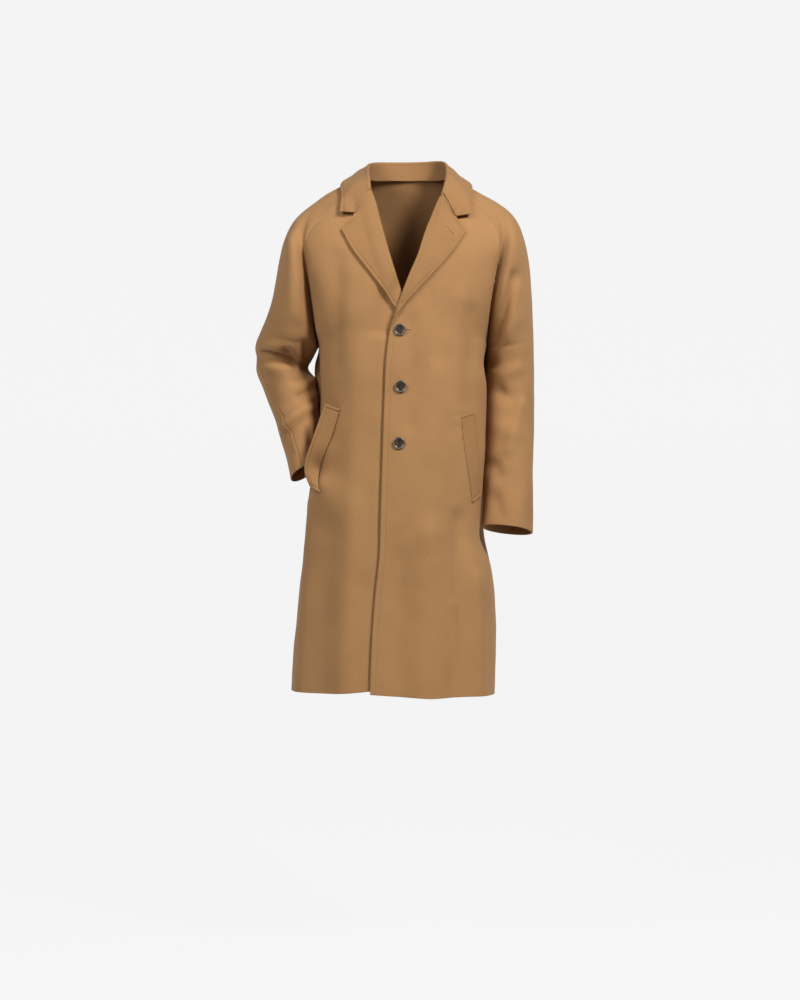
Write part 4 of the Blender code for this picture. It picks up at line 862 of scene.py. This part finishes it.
def lapel_fine(side):
    """Rows from the break to the gorge, columns from inside the fold, round it and out to the edge."""
    edge, out = (EDGE_RIGHT, LAPEL_OUT_RIGHT) if side == RIGHT else (EDGE_LEFT, LAPEL_OUT_LEFT)
    heights = np.linspace(LAPEL_BREAK[side], out["z"][-1] - 0.001, LAPEL_ROWS)[:, None]
    above = heights - LAPEL_BREAK[side]
    roll = column(edge, "x", heights)
    outer = outline_x(out, heights)
    slope = np.abs(np.gradient(outer[:, 0], heights[:, 0]))[:, None]
    turn = EDGE_TURN * np.sqrt(1 + np.minimum(slope, 2.2) ** 2)
    wide = np.maximum(side * (outer - roll) - turn, 0.0012)
    grow = ease(above / OPEN_RISE)
    r = np.minimum(BREAK_RADIUS + (FOLD_RADIUS - BREAK_RADIUS) * grow, 0.48 * wide + 0.0010)
    r = r * (0.12 + 0.88 * ease(above / 0.016))
    wide = wide * (0.3 + 0.7 * ease(above / 0.014))
    # Each row: a strip inside the front, half a turn round the fold, then out over the front.
    share = np.linspace(0, 1, LAPEL_COLUMNS + 1)[1:]
    angle = np.radians(np.linspace(-90, 90, BEND_COLUMNS))
    inside = r + (np.minimum(LAPEL_BACK, r + 0.6 * wide) - r) * np.array([1.0, 0.5])
    over = r + np.maximum(wide - r, 0.0008) * share
    crest = 2 * r - CLOTH
    lift = (LAPEL_LIFT + LAPEL_RISE - crest) * grow * ease(share * 3)
    bulge = np.sin(np.pi * np.clip((over - r) / OPEN_WIDTH, 0, 1)) * np.clip(wide / 0.03, 0, 1)
    bulge = bulge * LAPEL_ROLL * grow
    along = np.concatenate([inside, r - r * np.cos(angle), over], axis=1)
    away = np.concatenate([0 * inside - CLOTH, r - CLOTH + r * np.sin(angle), crest + lift + bulge], axis=1)
    turned = np.concatenate([[0, 0], -np.cos(angle), 0 * share])[:, None]
    outward = np.concatenate([[-1, -1], np.sin(angle), 0 * share + 1])[:, None]
    x, z = roll + side * along, heights + 0 * along
    layer = front_layer(x, z, lapel=True) if side == RIGHT else 0.0
    # At the break the lapel lies on the front, and higher up it is the front's own fold.
    rise = (CLOTH + 0.0002) * (1 - ease((above - BREAK_RISE) / 0.016))
    grid, normals = on_front(x, z, away + rise, layer)
    sideways = unit(np.array([side, 0, 0]) - normals * normals[..., :1] * side)
    thick = CLOTH + (LAPEL_CLOTH - CLOTH) * ease((away + CLOTH) / 0.006)
    thick = np.minimum(thick, r * 0.85 + ease((along - r) / 0.004) * LAPEL_CLOTH)
    normals = unit(sideways * turned + normals * outward)
    return {"grid": grid, "normals": normals, "thick": thick, "sign": side}


def press_edge(grid, normals, outline, at, depth=0.0010, lip=0.00060, step=0.0006):
    """Sinks the line of stitching that runs along an outline, and raises the strip outside it."""
    length = np.concatenate([[0], np.cumsum(np.linalg.norm(np.diff(outline, axis=0), axis=1))])
    close = np.arange(0, length[-1], step)
    tree = tree_of(np.stack([np.interp(close, length, outline[:, i]) for i in range(3)], axis=1))
    found = [tree.find(point)[2] for point in grid.reshape(-1, 3)]
    away = np.array(found).reshape(grid.shape[:2]) + EDGE_TURN
    height = lip * ease((at - away) / 0.0022) - depth * bump(away, at, 0.0012)
    return grid + normals * height[..., None]


# Section of the collar's fold: outwards from the crest, and up.
COLLAR_BEND = (
    (0.0, -0.0052), (0.0, -0.0030), (0.0004, -0.0012), (0.0014, 0.0004), (0.0030, 0.0011), (0.0048, 0.0009),
    (0.0068, -0.0006), (0.0092, -0.0040),
)
FALL_NEAR = (0, 0.001, 0.002, 0.003, 0.0042, 0.0056, 0.0072, 0.0090, 0.011)
FALL_FAR = EDGE_TURN + np.arange(0, 0.0121, 0.0011)
COLLAR_END = 12          # last step of the collar
COLLAR_ROWS = 250
FALL_COLUMNS, FALL_MIDDLE = 59, 34      # columns before resampling, and between the set ones after it
# How the fall bulges, and how its front ends are drawn in to make the notch: outwards, and by axis.
BULGE_OUT, FALL_BULGE = 0.003, np.array([0, 0, 0.005])
NOTCH_OUT, NOTCH_MOVE = -0.004, np.array([0, -0.002, -0.0250])
NECK_MIDDLE = np.array([0.004, 0.0, 0.0])
STAND_TUCK = 0.013       # how far the stand goes on below the neck seam
STAND_IN = 0.005         # and inside it
STAND_ENDS = (1.2, 10.8)     # steps of the collar where the stand begins and ends
WELT_ROWS, WELT_COLUMNS = 150, 40
WELT_SINK = {RIGHT: 0.0014, LEFT: 0.0022}    # how much deeper a welt lies at its seam
WELT_BULGE = 0.003       # how much the open right welt bulges between seam and edge


def collar_fine():
    """The fall: rows round the neck, columns from inside the fold over the crest to the outer edge."""
    steps = np.linspace(0, COLLAR_END, COLLAR_ROWS)
    crest, edge = (smooth(COLLAR["step"], point_columns(COLLAR, stem), steps) for stem in ("crest", "edge"))
    out = unit((edge - crest) * [1, 1, 0])
    fold_points = [crest + out * a + np.array([0, 0, b]) for a, b in COLLAR_BEND]
    share = np.linspace(0, 1, FALL_COLUMNS + 1)[1:][None, :, None]
    from_end = np.minimum(steps, COLLAR_END - steps)
    ends, sharp = (ease(1 - from_end / reach)[:, None, None] for reach in (1.3, 0.35))
    grid = fold_points[-1][:, None] * (1 - share) + edge[:, None] * share
    grid = grid + (out[:, None] * BULGE_OUT + FALL_BULGE) * np.sin(np.pi * share) * (1 - ends)
    # The notch is a sharp corner at the very end, and fades out softly beside it.
    corner = np.minimum(share / NOTCH_SHARE, (1 - share) / (1 - NOTCH_SHARE))
    notch = corner * sharp + np.sin(np.pi * share) ** 2 * (1 - sharp)
    grid = grid + (NOTCH_MOVE + out[:, None] * NOTCH_OUT) * notch * ends
    grid = np.concatenate([np.stack(fold_points, axis=1), grid], axis=1)
    share = np.linspace(0, 1, grid.shape[1])
    return np.array([resample(row, share, FALL_NEAR, FALL_FAR, FALL_MIDDLE)[0] for row in grid])


def stand_grid(rows_round, columns):
    """The stand: rows round the neck, columns from the crest down to the neck seam."""
    steps = np.linspace(*STAND_ENDS, rows_round)
    crest, seam = (smooth(COLLAR["step"], point_columns(COLLAR, stem), steps) for stem in ("crest", "seam"))
    top = crest - np.array([0, 0, STAND_BELOW])
    inward = unit((NECK_MIDDLE - seam) * [1, 1, 0])
    seam = seam + inward * STAND_IN - np.array([0, 0, STAND_TUCK])
    share = np.linspace(0, 1, columns)[None, :, None]
    return top[:, None] * (1 - share) + seam[:, None] * share


def welt_fine(side):
    """Rows from the top of a pocket welt to its bottom, columns from its seam to its free edge."""
    data = WELT_RIGHT if side == RIGHT else WELT_LEFT
    steps = np.linspace(0.008, 0.992, WELT_ROWS) * data["step"][-1]
    at = {name: smooth(data["step"], values, steps)[:, None] for name, values in data.items()}
    share = np.linspace(0.02, 0.97, WELT_COLUMNS)
    if side == LEFT:
        # Its seam is flush with the front, and its free edge lies on it.
        x, z = (at[f"seam_{axis}"] * (1 - share) + at[f"edge_{axis}"] * share for axis in "xz")
        grid = on_front(x, z, WELT_LIFT - WELT_SINK[side] * (1 - share))[0]
        grid[..., 1] = soften(grid[..., 1], 8)
        return grid
    # Its free edge stands away from the front.
    seam, normals = on_front(at["seam_x"], at["seam_z"], WELT_LIFT - WELT_SINK[side])
    edge = np.stack([at[f"edge_{axis}"] for axis in "xyz"], axis=-1)
    share = share[None, :, None]
    grid = soften(seam, 30) * (1 - share) + edge * share
    return grid + soften(normals, 60) * (np.sin(np.pi * share) * WELT_BULGE)


# ---- Meshes


TURN_ANGLES = np.radians((30, 60, 90, 120, 150))
REVERSED = [0, 3, 2, 1]     # the corners of a face, going round the other way


def add_mesh(name, points, faces, looks):
    """A smooth object with the named materials, the first of them on every face."""
    mesh = bpy.data.meshes.new(name)
    mesh.from_pydata(points, [], faces)
    mesh.update()
    mesh.polygons.foreach_set("use_smooth", np.ones(len(faces), bool))
    for look in looks:
        mesh.materials.append(MATERIALS[look])
    made = bpy.data.objects.new(name, mesh)
    bpy.context.scene.collection.objects.link(made)
    return made


# By default a piece gets the trim wool, which is painted darker as painted shade.
def shell(name, grid, normals, thickness, sign, turns, slot="coating_wool_trim", looks=None):
    """Closed cloth between a grid and the same grid moved inwards, with rounded edges.

    turns: how far each edge goes out as it turns under: first and last row, then first and last column.
    """
    rows, columns = grid.shape[:2]
    count = rows * columns
    index = np.arange(count).reshape(rows, columns)
    loop = np.concatenate([index[0, :-1], index[:-1, -1], index[-1, :0:-1], index[:0:-1, 0]])
    thick = np.broadcast_to(np.asarray(thickness, float), (rows, columns)).reshape(-1, 1)
    flat, flat_normals = grid.reshape(-1, 3), normals.reshape(-1, 3)
    away = np.zeros_like(grid)
    edges, beside = (0, -1, np.s_[:, 0], np.s_[:, -1]), (1, -2, np.s_[:, 1], np.s_[:, -2])
    for edge, inner, turn in zip(edges, beside, turns):
        away[edge] += unit(grid[edge] - grid[inner]) * turn
    out, normal, half = away.reshape(-1, 3)[loop], flat_normals[loop], thick[loop] / 2
    out = out - normal * (out * normal).sum(axis=1, keepdims=True)
    rings = [flat[loop] + out * np.sin(a) - normal * half * (1 - np.cos(a)) for a in TURN_ANGLES]
    points = np.concatenate([flat, flat - flat_normals * thick] + rings)
    ring_index = 2 * count + np.arange(len(rings) * len(loop)).reshape(len(rings), -1)
    levels = np.concatenate([loop[None], ring_index, loop[None] + count])
    sides = quads_of(levels, wrap=True)[:, REVERSED]
    faces = np.concatenate([quads_of(index), quads_of(index + count)[:, ::-1], sides])
    if sign > 0:
        faces = faces[:, ::-1]
    made = add_mesh(name, points.tolist(), faces.tolist(), looks or (slot,))
    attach(made, "root")
    return made


# ---- Buttons and buttonholes


BUTTON_RADIUS = 0.0125
# Profile of a button from the middle of its back over the rim into the dish: share of the radius, height.
BUTTON_PROFILE = (
    (0.02, 0.0), (0.50, 0.0), (0.84, 0.0), (0.94, 0.0004), (0.99, 0.0012), (1.0, 0.0021), (0.99, 0.0030),
    (0.96, 0.0037), (0.915, 0.0041), (0.87, 0.0042), (0.83, 0.0040), (0.79, 0.0035), (0.75, 0.0030),
    (0.70, 0.0025), (0.62, 0.0021),
)
PROFILE_POINTS = 64
DISH_POINTS = 42
DISH_SHARE = 0.61        # share of the radius where the flat of the dish begins
DISH_HEIGHT = 0.0019
DISH_RISE = 0.0002
BUTTON_RIM = 0.76        # the lighter rim is outside this share of the radius
HOLE_AWAY = 0.0026       # from the middle of the button
HOLE_RADIUS = 0.0011
HOLE_DEPTH = 0.0017
HOLE_WALL = 0.0004
THREAD_RADIUS = 0.00045
THREAD_HEIGHT = 0.0021
THREAD_ARCH = 0.0005     # how much the middle of a strand stands up
THREAD_SINK = 0.0020     # and how far its ends go down into the holes


def button_grid(centre, across, up, out):
    """Rows of points from the middle of the back to that of the dish, and their shares of the radius."""
    share, height = np.array(BUTTON_PROFILE).T
    at = np.linspace(0, len(share) - 1, PROFILE_POINTS)
    share, height = (smooth(np.arange(len(share)), values, at) for values in (share, height))
    inner = np.linspace(DISH_SHARE, 0.01, DISH_POINTS)
    share = np.concatenate([share, inner])
    height = np.concatenate([height, DISH_HEIGHT + DISH_RISE * (inner / DISH_SHARE) ** 2])
    angle = np.linspace(0, 2 * np.pi, 96, endpoint=False)
    u, v = (BUTTON_RADIUS * share[:, None] * turn for turn in (np.cos(angle), np.sin(angle)))
    h = np.repeat(height[:, None], len(angle), axis=1)
    for turn in np.pi / 4 + np.arange(4) * np.pi / 2:
        away = np.hypot(u - HOLE_AWAY * np.cos(turn), v - HOLE_AWAY * np.sin(turn))
        h[PROFILE_POINTS:] -= (HOLE_DEPTH * ease((HOLE_RADIUS - away) / HOLE_WALL))[PROFILE_POINTS:]
    return centre + u[..., None] * across + v[..., None] * up + h[..., None] * out, share


def strand(middle, across, up, out):
    """A strand of thread between two holes, as rings of points."""
    along, angle = np.linspace(-1, 1, 25), np.linspace(0, 2 * np.pi, 12, endpoint=False)
    height = THREAD_HEIGHT + THREAD_ARCH * (1 - along**2) - THREAD_SINK * ease((np.abs(along) - 0.80) / 0.2)
    line = middle + up * (along * HOLE_AWAY * np.sqrt(0.5))[:, None] + out * height[:, None]
    ring = across * np.cos(angle)[:, None] + out * np.sin(angle)[:, None]
    return line[:, None] + ring * THREAD_RADIUS


def fine_button(name, node):
    """A dished button with rounded rim, four sunk holes and two strands of thread, in its solid's place."""
    points = np.array([tuple(v.co) for v in node.data.vertices])
    axes = np.linalg.svd(points - points.mean(axis=0))[2]
    out = axes[2] * -np.sign(axes[2][1])
    across = unit(np.cross(out, [0, 0, 1.0]))
    up = np.cross(across, out)
    middle = (axis * ((points @ axis).min() + (points @ axis).max()) / 2 for axis in (across, up))
    centre = sum(middle) + out * (points @ out).min()
    grid, share = button_grid(centre, across, up, out)
    index = np.arange(grid[..., 0].size).reshape(grid.shape[:2])
    faces = quads_of(index, wrap=True)[:, REVERSED].tolist() + [index[0, ::-1].tolist(), index[-1].tolist()]
    looks = np.repeat((share[:-1] > BUTTON_RIM).astype(int), grid.shape[1]).tolist() + [0, 0]
    points = grid.reshape(-1, 3).tolist()
    for side in (-1, 1):
        tube = strand(centre + across * side * HOLE_AWAY * np.sqrt(0.5), across, up, out)
        index = np.arange(tube[..., 0].size).reshape(tube.shape[:2]) + len(points)
        sides = quads_of(index, wrap=True).tolist() + [index[0].tolist(), index[-1, ::-1].tolist()]
        faces += sides
        looks += [2] * len(sides)
        points += tube.reshape(-1, 3).tolist()
    made = add_mesh(f"fine_{name}", points, faces, ("horn", "horn_rim", "thread_dark"))
    made.data.polygons.foreach_set("material_index", looks)
    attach(made, "root")
    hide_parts(name)


# Buttonholes as seen from the front: x and z of the two ends, the second with the eyelet.
BUTTONHOLES = {
    "buttonhole_1": (0.0155, -0.3125, -0.0080, -0.3135),
    "buttonhole_2": (0.0065, -0.4278, -0.0080, -0.4284),
    "buttonhole_3": (0.0042, -0.5431, -0.0110, -0.5437),
    "buttonhole_lapel": (0.0820, -0.0955, 0.1005, -0.1175),
}
# Half the section of a buttonhole, outwards from the slit in its middle: across it, and up.
HOLE_SECTION = (
    (0.0003, 0.00015), (0.0007, 0.0002), (0.0010, 0.0006), (0.0015, 0.0009), (0.0019, 0.0005),
    (0.0022, -0.0002),
)
HOLE_CLOTH = 0.0007
HOLE_TURNS = (0.0001,) * 4
# Columns of the buttonhole's thread, and distance from its ends, where the slit is painted dark as painted
# shade.
SLIT_COLUMNS = slice(4, 7)
SLIT_END = 0.0012
STITCH_STEP = 0.0009
STITCH_WAVE = 0.16       # how much thicker the thread is at each stitch
EYELET = (0.55, 0.0032, 0.0020)  # how much wider it is, how far from the end, and how long


def buttonhole(name, surface):
    """The raised thread round a cut in the cloth, with an eyelet at one end; the cut itself is painted
    shade.
    """
    x0, z0, x1, z1 = BUTTONHOLES[name]
    start, end = np.array([x0, z0]), np.array([x1, z1])
    length = np.linalg.norm(end - start)
    along, side = (end - start) / length, np.array([(z1 - z0), -(x1 - x0)]) / length
    s = np.arange(0, length, STITCH_STEP / 5)
    half, rise = np.array(HOLE_SECTION).T
    across, heights = np.concatenate([-half[::-1], half]), np.concatenate([rise[::-1], rise])
    ends = np.minimum(s, length - s)
    narrow = 0.30 + 0.70 * ease(ends / 0.0016)
    wider, from_end, long = EYELET
    eyelet = 1 + wider * bump(s, length - from_end, long)
    t = across[None] * (narrow * eyelet)[:, None]
    place = start + s[:, None, None] * along + t[..., None] * side
    stitches = 1 + STITCH_WAVE * np.sin(2 * np.pi * s / STITCH_STEP)
    h = heights[None] * (ease(ends / 0.0010) * stitches)[:, None]
    # The slit is closed by thread at its two ends.
    h = h + (0.0006 * (1 - ease((ends - 0.0008) / 0.0008)))[:, None] * bump(across, 0, 0.0007)[None]
    grid, out = np.zeros((*t.shape, 3)), np.zeros((*t.shape, 3))
    for at in np.ndindex(t.shape):
        hit, normal, _, _ = surface.ray_cast((place[at][0], -1.0, place[at][1]), (0, 1, 0))
        grid[at], out[at] = np.array(hit) + np.array(normal) * h[at], normal
    looks = ("thread", "thread_dark")
    made = shell(name, grid, soften(out, 6), HOLE_CLOTH, LEFT, HOLE_TURNS, looks=looks)
    # The middle columns of the slit get the dark thread colour: painted shade where the cut would be.
    dark = np.zeros(len(made.data.polygons), int)
    outer = dark[:(t.shape[0] - 1) * (t.shape[1] - 1)].reshape(-1, t.shape[1] - 1)
    outer[:, SLIT_COLUMNS] = ends[:-1, None] >= SLIT_END
    made.data.polygons.foreach_set("material_index", dark.tolist())


# ---- Materials


MATERIALS = {}
# Wool: darker and lighter colour of its soft clouds. Horn: the same, for body and rim.
WOOLS = {
    "coating_wool": ((0.299, 0.153, 0.058), (0.378, 0.196, 0.076)),
    # The trim is the same wool as the coat, painted about 12% darker: painted shade on collar, stand, lapels
    # and welts.
    "coating_wool_trim": ((0.266, 0.135, 0.050), (0.337, 0.173, 0.066)),
    "thread": ((0.34, 0.18, 0.078), (0.50, 0.29, 0.135)),
    # Dark thread of the buttons; the same dark is painted on the middle of each buttonhole's slit as painted
    # shade.
    "thread_dark": ((0.045, 0.024, 0.012), (0.075, 0.042, 0.022)),
}
HORNS = {
    "horn": ((0.020, 0.013, 0.010), (0.080, 0.050, 0.033)),
    "horn_rim": ((0.100, 0.072, 0.052), (0.240, 0.185, 0.140)),
}
FLOOR_COLOUR = (0.05, 0.05, 0.05)
FLOOR_GLOW = 0.88


def set_sockets(node, values):
    for socket, value in values.items():
        node.inputs[socket].default_value = value


def add_node(tree, kind, values=None):
    node = tree.nodes.new(f"ShaderNode{kind}")
    set_sockets(node, values or {})
    return node


def link(tree, a, out, b, into):
    tree.links.new(a.outputs[out], b.inputs[into])


def new_material(name, colour, values):
    """A node material, as its tree and its shader."""
    MATERIALS[name] = bpy.data.materials.new(name)
    MATERIALS[name].use_nodes = True
    tree = MATERIALS[name].node_tree
    shader = tree.nodes["Principled BSDF"]
    set_sockets(shader, {"Base Color": (*colour, 1), **values})
    return tree, shader


def colour_by(tree, shader, source, output, colours, places):
    """Colours the shader from one colour to another as the source goes between two places."""
    ramp = add_node(tree, "ValToRGB")
    for stop, colour, place in zip(ramp.color_ramp.elements, colours, places):
        stop.position, stop.color = place, (*colour, 1)
    link(tree, source, output, ramp, "Fac")
    link(tree, ramp, "Color", shader, "Base Color")


def wool(name, dark, light):
    """Brushed coating wool: colour that varies softly, fine fibres, and a low short nap."""
    sheen = {"Sheen Weight": 0.10, "Sheen Roughness": 0.45, "Sheen Tint": (1.0, 0.92, 0.80, 1)}
    tree, shader = new_material(name, light, {"Roughness": 0.92, "Specular IOR Level": 0.35, **sheen})
    place = add_node(tree, "TexCoord")
    soft = add_node(tree, "TexNoise", {"Scale": 9, "Detail": 2})
    fibre = add_node(tree, "TexNoise", {"Scale": 420, "Detail": 4, "Roughness": 0.7})
    for texture in (soft, fibre):
        link(tree, place, "Object", texture, "Vector")
    both = add_node(tree, "Math")
    both.operation = "MULTIPLY_ADD"
    both.inputs[1].default_value = 1.0
    link(tree, fibre, "Fac", both, 0)
    link(tree, soft, "Fac", both, 2)
    colour_by(tree, shader, both, "Value", (dark, light), (0.60, 1.40))
    raised = add_node(tree, "Bump", {"Strength": 0.30, "Distance": 0.0006})
    link(tree, fibre, "Fac", raised, "Height")
    link(tree, raised, "Normal", shader, "Normal")


def horn(name, dark, light):
    """Polished horn with dark and light clouds."""
    tree, shader = new_material(name, dark, {"Roughness": 0.26, "Specular IOR Level": 0.7})
    place = add_node(tree, "TexCoord")
    cloud = add_node(tree, "TexNoise", {"Scale": 130, "Detail": 4, "Distortion": 1.2})
    link(tree, place, "Object", cloud, "Vector")
    colour_by(tree, shader, cloud, "Fac", (dark, light), (0.35, 0.75))


def studio_paper():
    """The pale, nearly shadowless paper of floor and wall."""
    glow = {"Emission Color": (1, 1, 1, 1), "Emission Strength": FLOOR_GLOW}
    plain = {"Roughness": 0.9, "Specular IOR Level": 0.0, **glow}
    tree, shader = new_material("floor", FLOOR_COLOUR, plain)
    cloud = add_node(tree, "TexNoise", {"Scale": 3})
    colour_by(tree, shader, cloud, "Fac", ([c * 0.99 for c in FLOOR_COLOUR], FLOOR_COLOUR), (0, 1))


# ---- Studio


CAMERA = (-0.01045, -5.0, -0.6584)
LENS = 86.1
FLOOR_Z = -1.60
FLOOR_SIDE = 7.0
FLOOR_FRONT = -0.75
FLOOR_BACK = 5.6         # where the floor begins to turn up
WALL_BEND = 1.4
WALL_HEIGHT = 6.0
WORLD_LIGHT = 0.12
LIGHT_AIM = (0, 0, -0.55)
LIGHTS = (
    ("key", (1.55, -2.15, 1.5), 0.8, 104),
    ("fill", (-1.75, -2.5, 1.1), 1.4, 56),
)


def add_object(name, data, place):
    made = bpy.data.objects.new(name, data)
    made.location = place
    bpy.context.scene.collection.objects.link(made)
    return made


def studio():
    """Pale floor that turns up into a wall, soft light, and the camera."""
    studio_paper()
    bend = np.radians(np.linspace(6, 90, 15))
    profile = [(FLOOR_FRONT, 0.0), (FLOOR_BACK, 0.0)]
    profile += [(FLOOR_BACK + WALL_BEND * np.sin(a), WALL_BEND * (1 - np.cos(a))) for a in bend]
    profile += [(FLOOR_BACK + WALL_BEND, WALL_HEIGHT)]
    points = [(x, y, FLOOR_Z + z) for y, z in profile for x in (-FLOOR_SIDE, FLOOR_SIDE)]
    faces = [(2 * i, 2 * i + 1, 2 * i + 3, 2 * i + 2) for i in range(len(profile) - 1)]
    add_mesh("floor", points, faces, ("floor",))
    world = bpy.data.worlds.new("world")
    bpy.context.scene.world = world
    world.use_nodes = True
    set_sockets(world.node_tree.nodes["Background"], {"Color": (1, 1, 1, 1), "Strength": WORLD_LIGHT})
    for name, place, size, power in LIGHTS:
        data = bpy.data.lights.new(name, "AREA")
        data.shape = "RECTANGLE"
        data.size = data.size_y = size
        data.energy = power
        aim = np.array(LIGHT_AIM) - place
        tip = np.arctan2(np.hypot(aim[0], aim[1]), -aim[2])
        add_object(name, data, place).rotation_euler = (tip, 0, np.arctan2(aim[1], aim[0]) - np.pi / 2)
    data = bpy.data.cameras.new("camera")
    data.sensor_width, data.lens = 36, LENS
    camera = add_object("camera", data, CAMERA)
    camera.rotation_euler = (np.pi / 2, 0, 0)
    bpy.context.scene.camera = camera
    bpy.context.scene.view_settings.view_transform = "Standard"


# ---- The coat


# How far each edge of a panel turns under: hem or neck end, the other end, first column, last column.
PANEL_TURNS = {
    "front": (EDGE_TURN, 0.0005, EDGE_TURN, TURN),
    "back": (EDGE_TURN, 0.0005, TURN, TURN),
    "sleeve": (0.0005, EDGE_TURN, TURN, TURN),
}
LAPEL_TURNS = (0.0008, TURN, 0.0004, EDGE_TURN)
WELT_TURNS = (EDGE_TURN, EDGE_TURN, TURN, EDGE_TURN)
FALL_TURNS = (EDGE_TURN, EDGE_TURN, 0.0008, EDGE_TURN)
STAND_TURNS = (0.0008,) * 4


def lapel_cloth(name, side, lapel):
    grid = press_edge(lapel["grid"], lapel["normals"], lapel["grid"][:, -1], LAPEL_TOPSTITCH)
    return shell(name, grid, lapel["normals"], lapel["thick"], side, LAPEL_TURNS)


def welt_cloth(name, side):
    grid = welt_fine(side)
    outline = np.concatenate([grid[0], grid[1:-1, -1], grid[-1, ::-1]])
    grid = press_edge(grid, grid_normals(grid, -side), outline, WELT_TOPSTITCH, WELT_PRESS, WELT_LIP)
    return shell(name, grid, grid_normals(grid, -side), WELT_CLOTH, -side, WELT_TURNS)


OUTLINE_FROM = 30        # column where the pressed line begins on the fall's front ends


def fall_cloth(name, panels):
    grid = collar_fine()
    steps = np.linspace(0, COLLAR_END, len(grid))
    # Near its front ends the collar moves straight forward, so that its points stay as the photo has them.
    forward = ease((2.6 - np.minimum(steps, COLLAR_END - steps)) / 1.8)[:, None, None]
    along = unit(grid_normals(grid, -1) * (1 - forward) + np.array([0, -1.0, 0]) * forward)
    grid = lifted(grid, along, surface_of(panels.values()), FALL_LIFT)
    normals = grid_normals(grid, -1)
    outline = np.concatenate([grid[0, OUTLINE_FROM:], grid[1:-1, -1], grid[-1, :OUTLINE_FROM - 1:-1]])
    grid = press_edge(grid, normals, outline, LAPEL_TOPSTITCH)
    return shell(name, grid, normals, LAPEL_CLOTH, -1, FALL_TURNS)


def build(frame):
    for name, colours in WOOLS.items():
        wool(name, *colours)
    for name, colours in HORNS.items():
        horn(name, *colours)
    panels = fine_panels()
    cloth = {}
    for name, panel in panels.items():
        form = panel["grid"], panel["normals"], CLOTH, panel["sign"], PANEL_TURNS[name.split("_")[0]]
        cloth[name] = shell(f"cloth_{name}", *form, "coating_wool")
    for side, name in ((RIGHT, "right"), (LEFT, "left")):
        lapel = lapel_fine(side)
        cloth[f"lapel_{name}"] = lapel_cloth(f"cloth_lapel_{name}", side, lapel)
        cloth[f"welt_{name}"] = welt_cloth(f"cloth_welt_{name}", side)
    cloth["collar_fall"] = fall_cloth("cloth_collar_fall", panels)
    grid = stand_grid(120, 14)
    cloth["collar_stand"] = shell("cloth_collar_stand", grid, grid_normals(grid, 1), CLOTH, 1, STAND_TURNS)
    for name, piece in cloth.items():
        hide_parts(name)
    for name, node in frame["nodes"].items():
        if name.startswith("button"):
            fine_button(name, node)
    surface = surface_of([panels["front_left"], lapel])
    for name in BUTTONHOLES:
        buttonhole(name, surface)
    studio()


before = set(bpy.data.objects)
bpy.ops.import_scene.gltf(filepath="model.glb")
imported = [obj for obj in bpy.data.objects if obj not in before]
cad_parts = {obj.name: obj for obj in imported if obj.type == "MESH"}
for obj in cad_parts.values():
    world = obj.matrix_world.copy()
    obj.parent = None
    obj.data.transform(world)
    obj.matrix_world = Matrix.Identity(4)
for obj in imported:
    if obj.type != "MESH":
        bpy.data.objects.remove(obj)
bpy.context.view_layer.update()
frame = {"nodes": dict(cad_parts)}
build(frame)
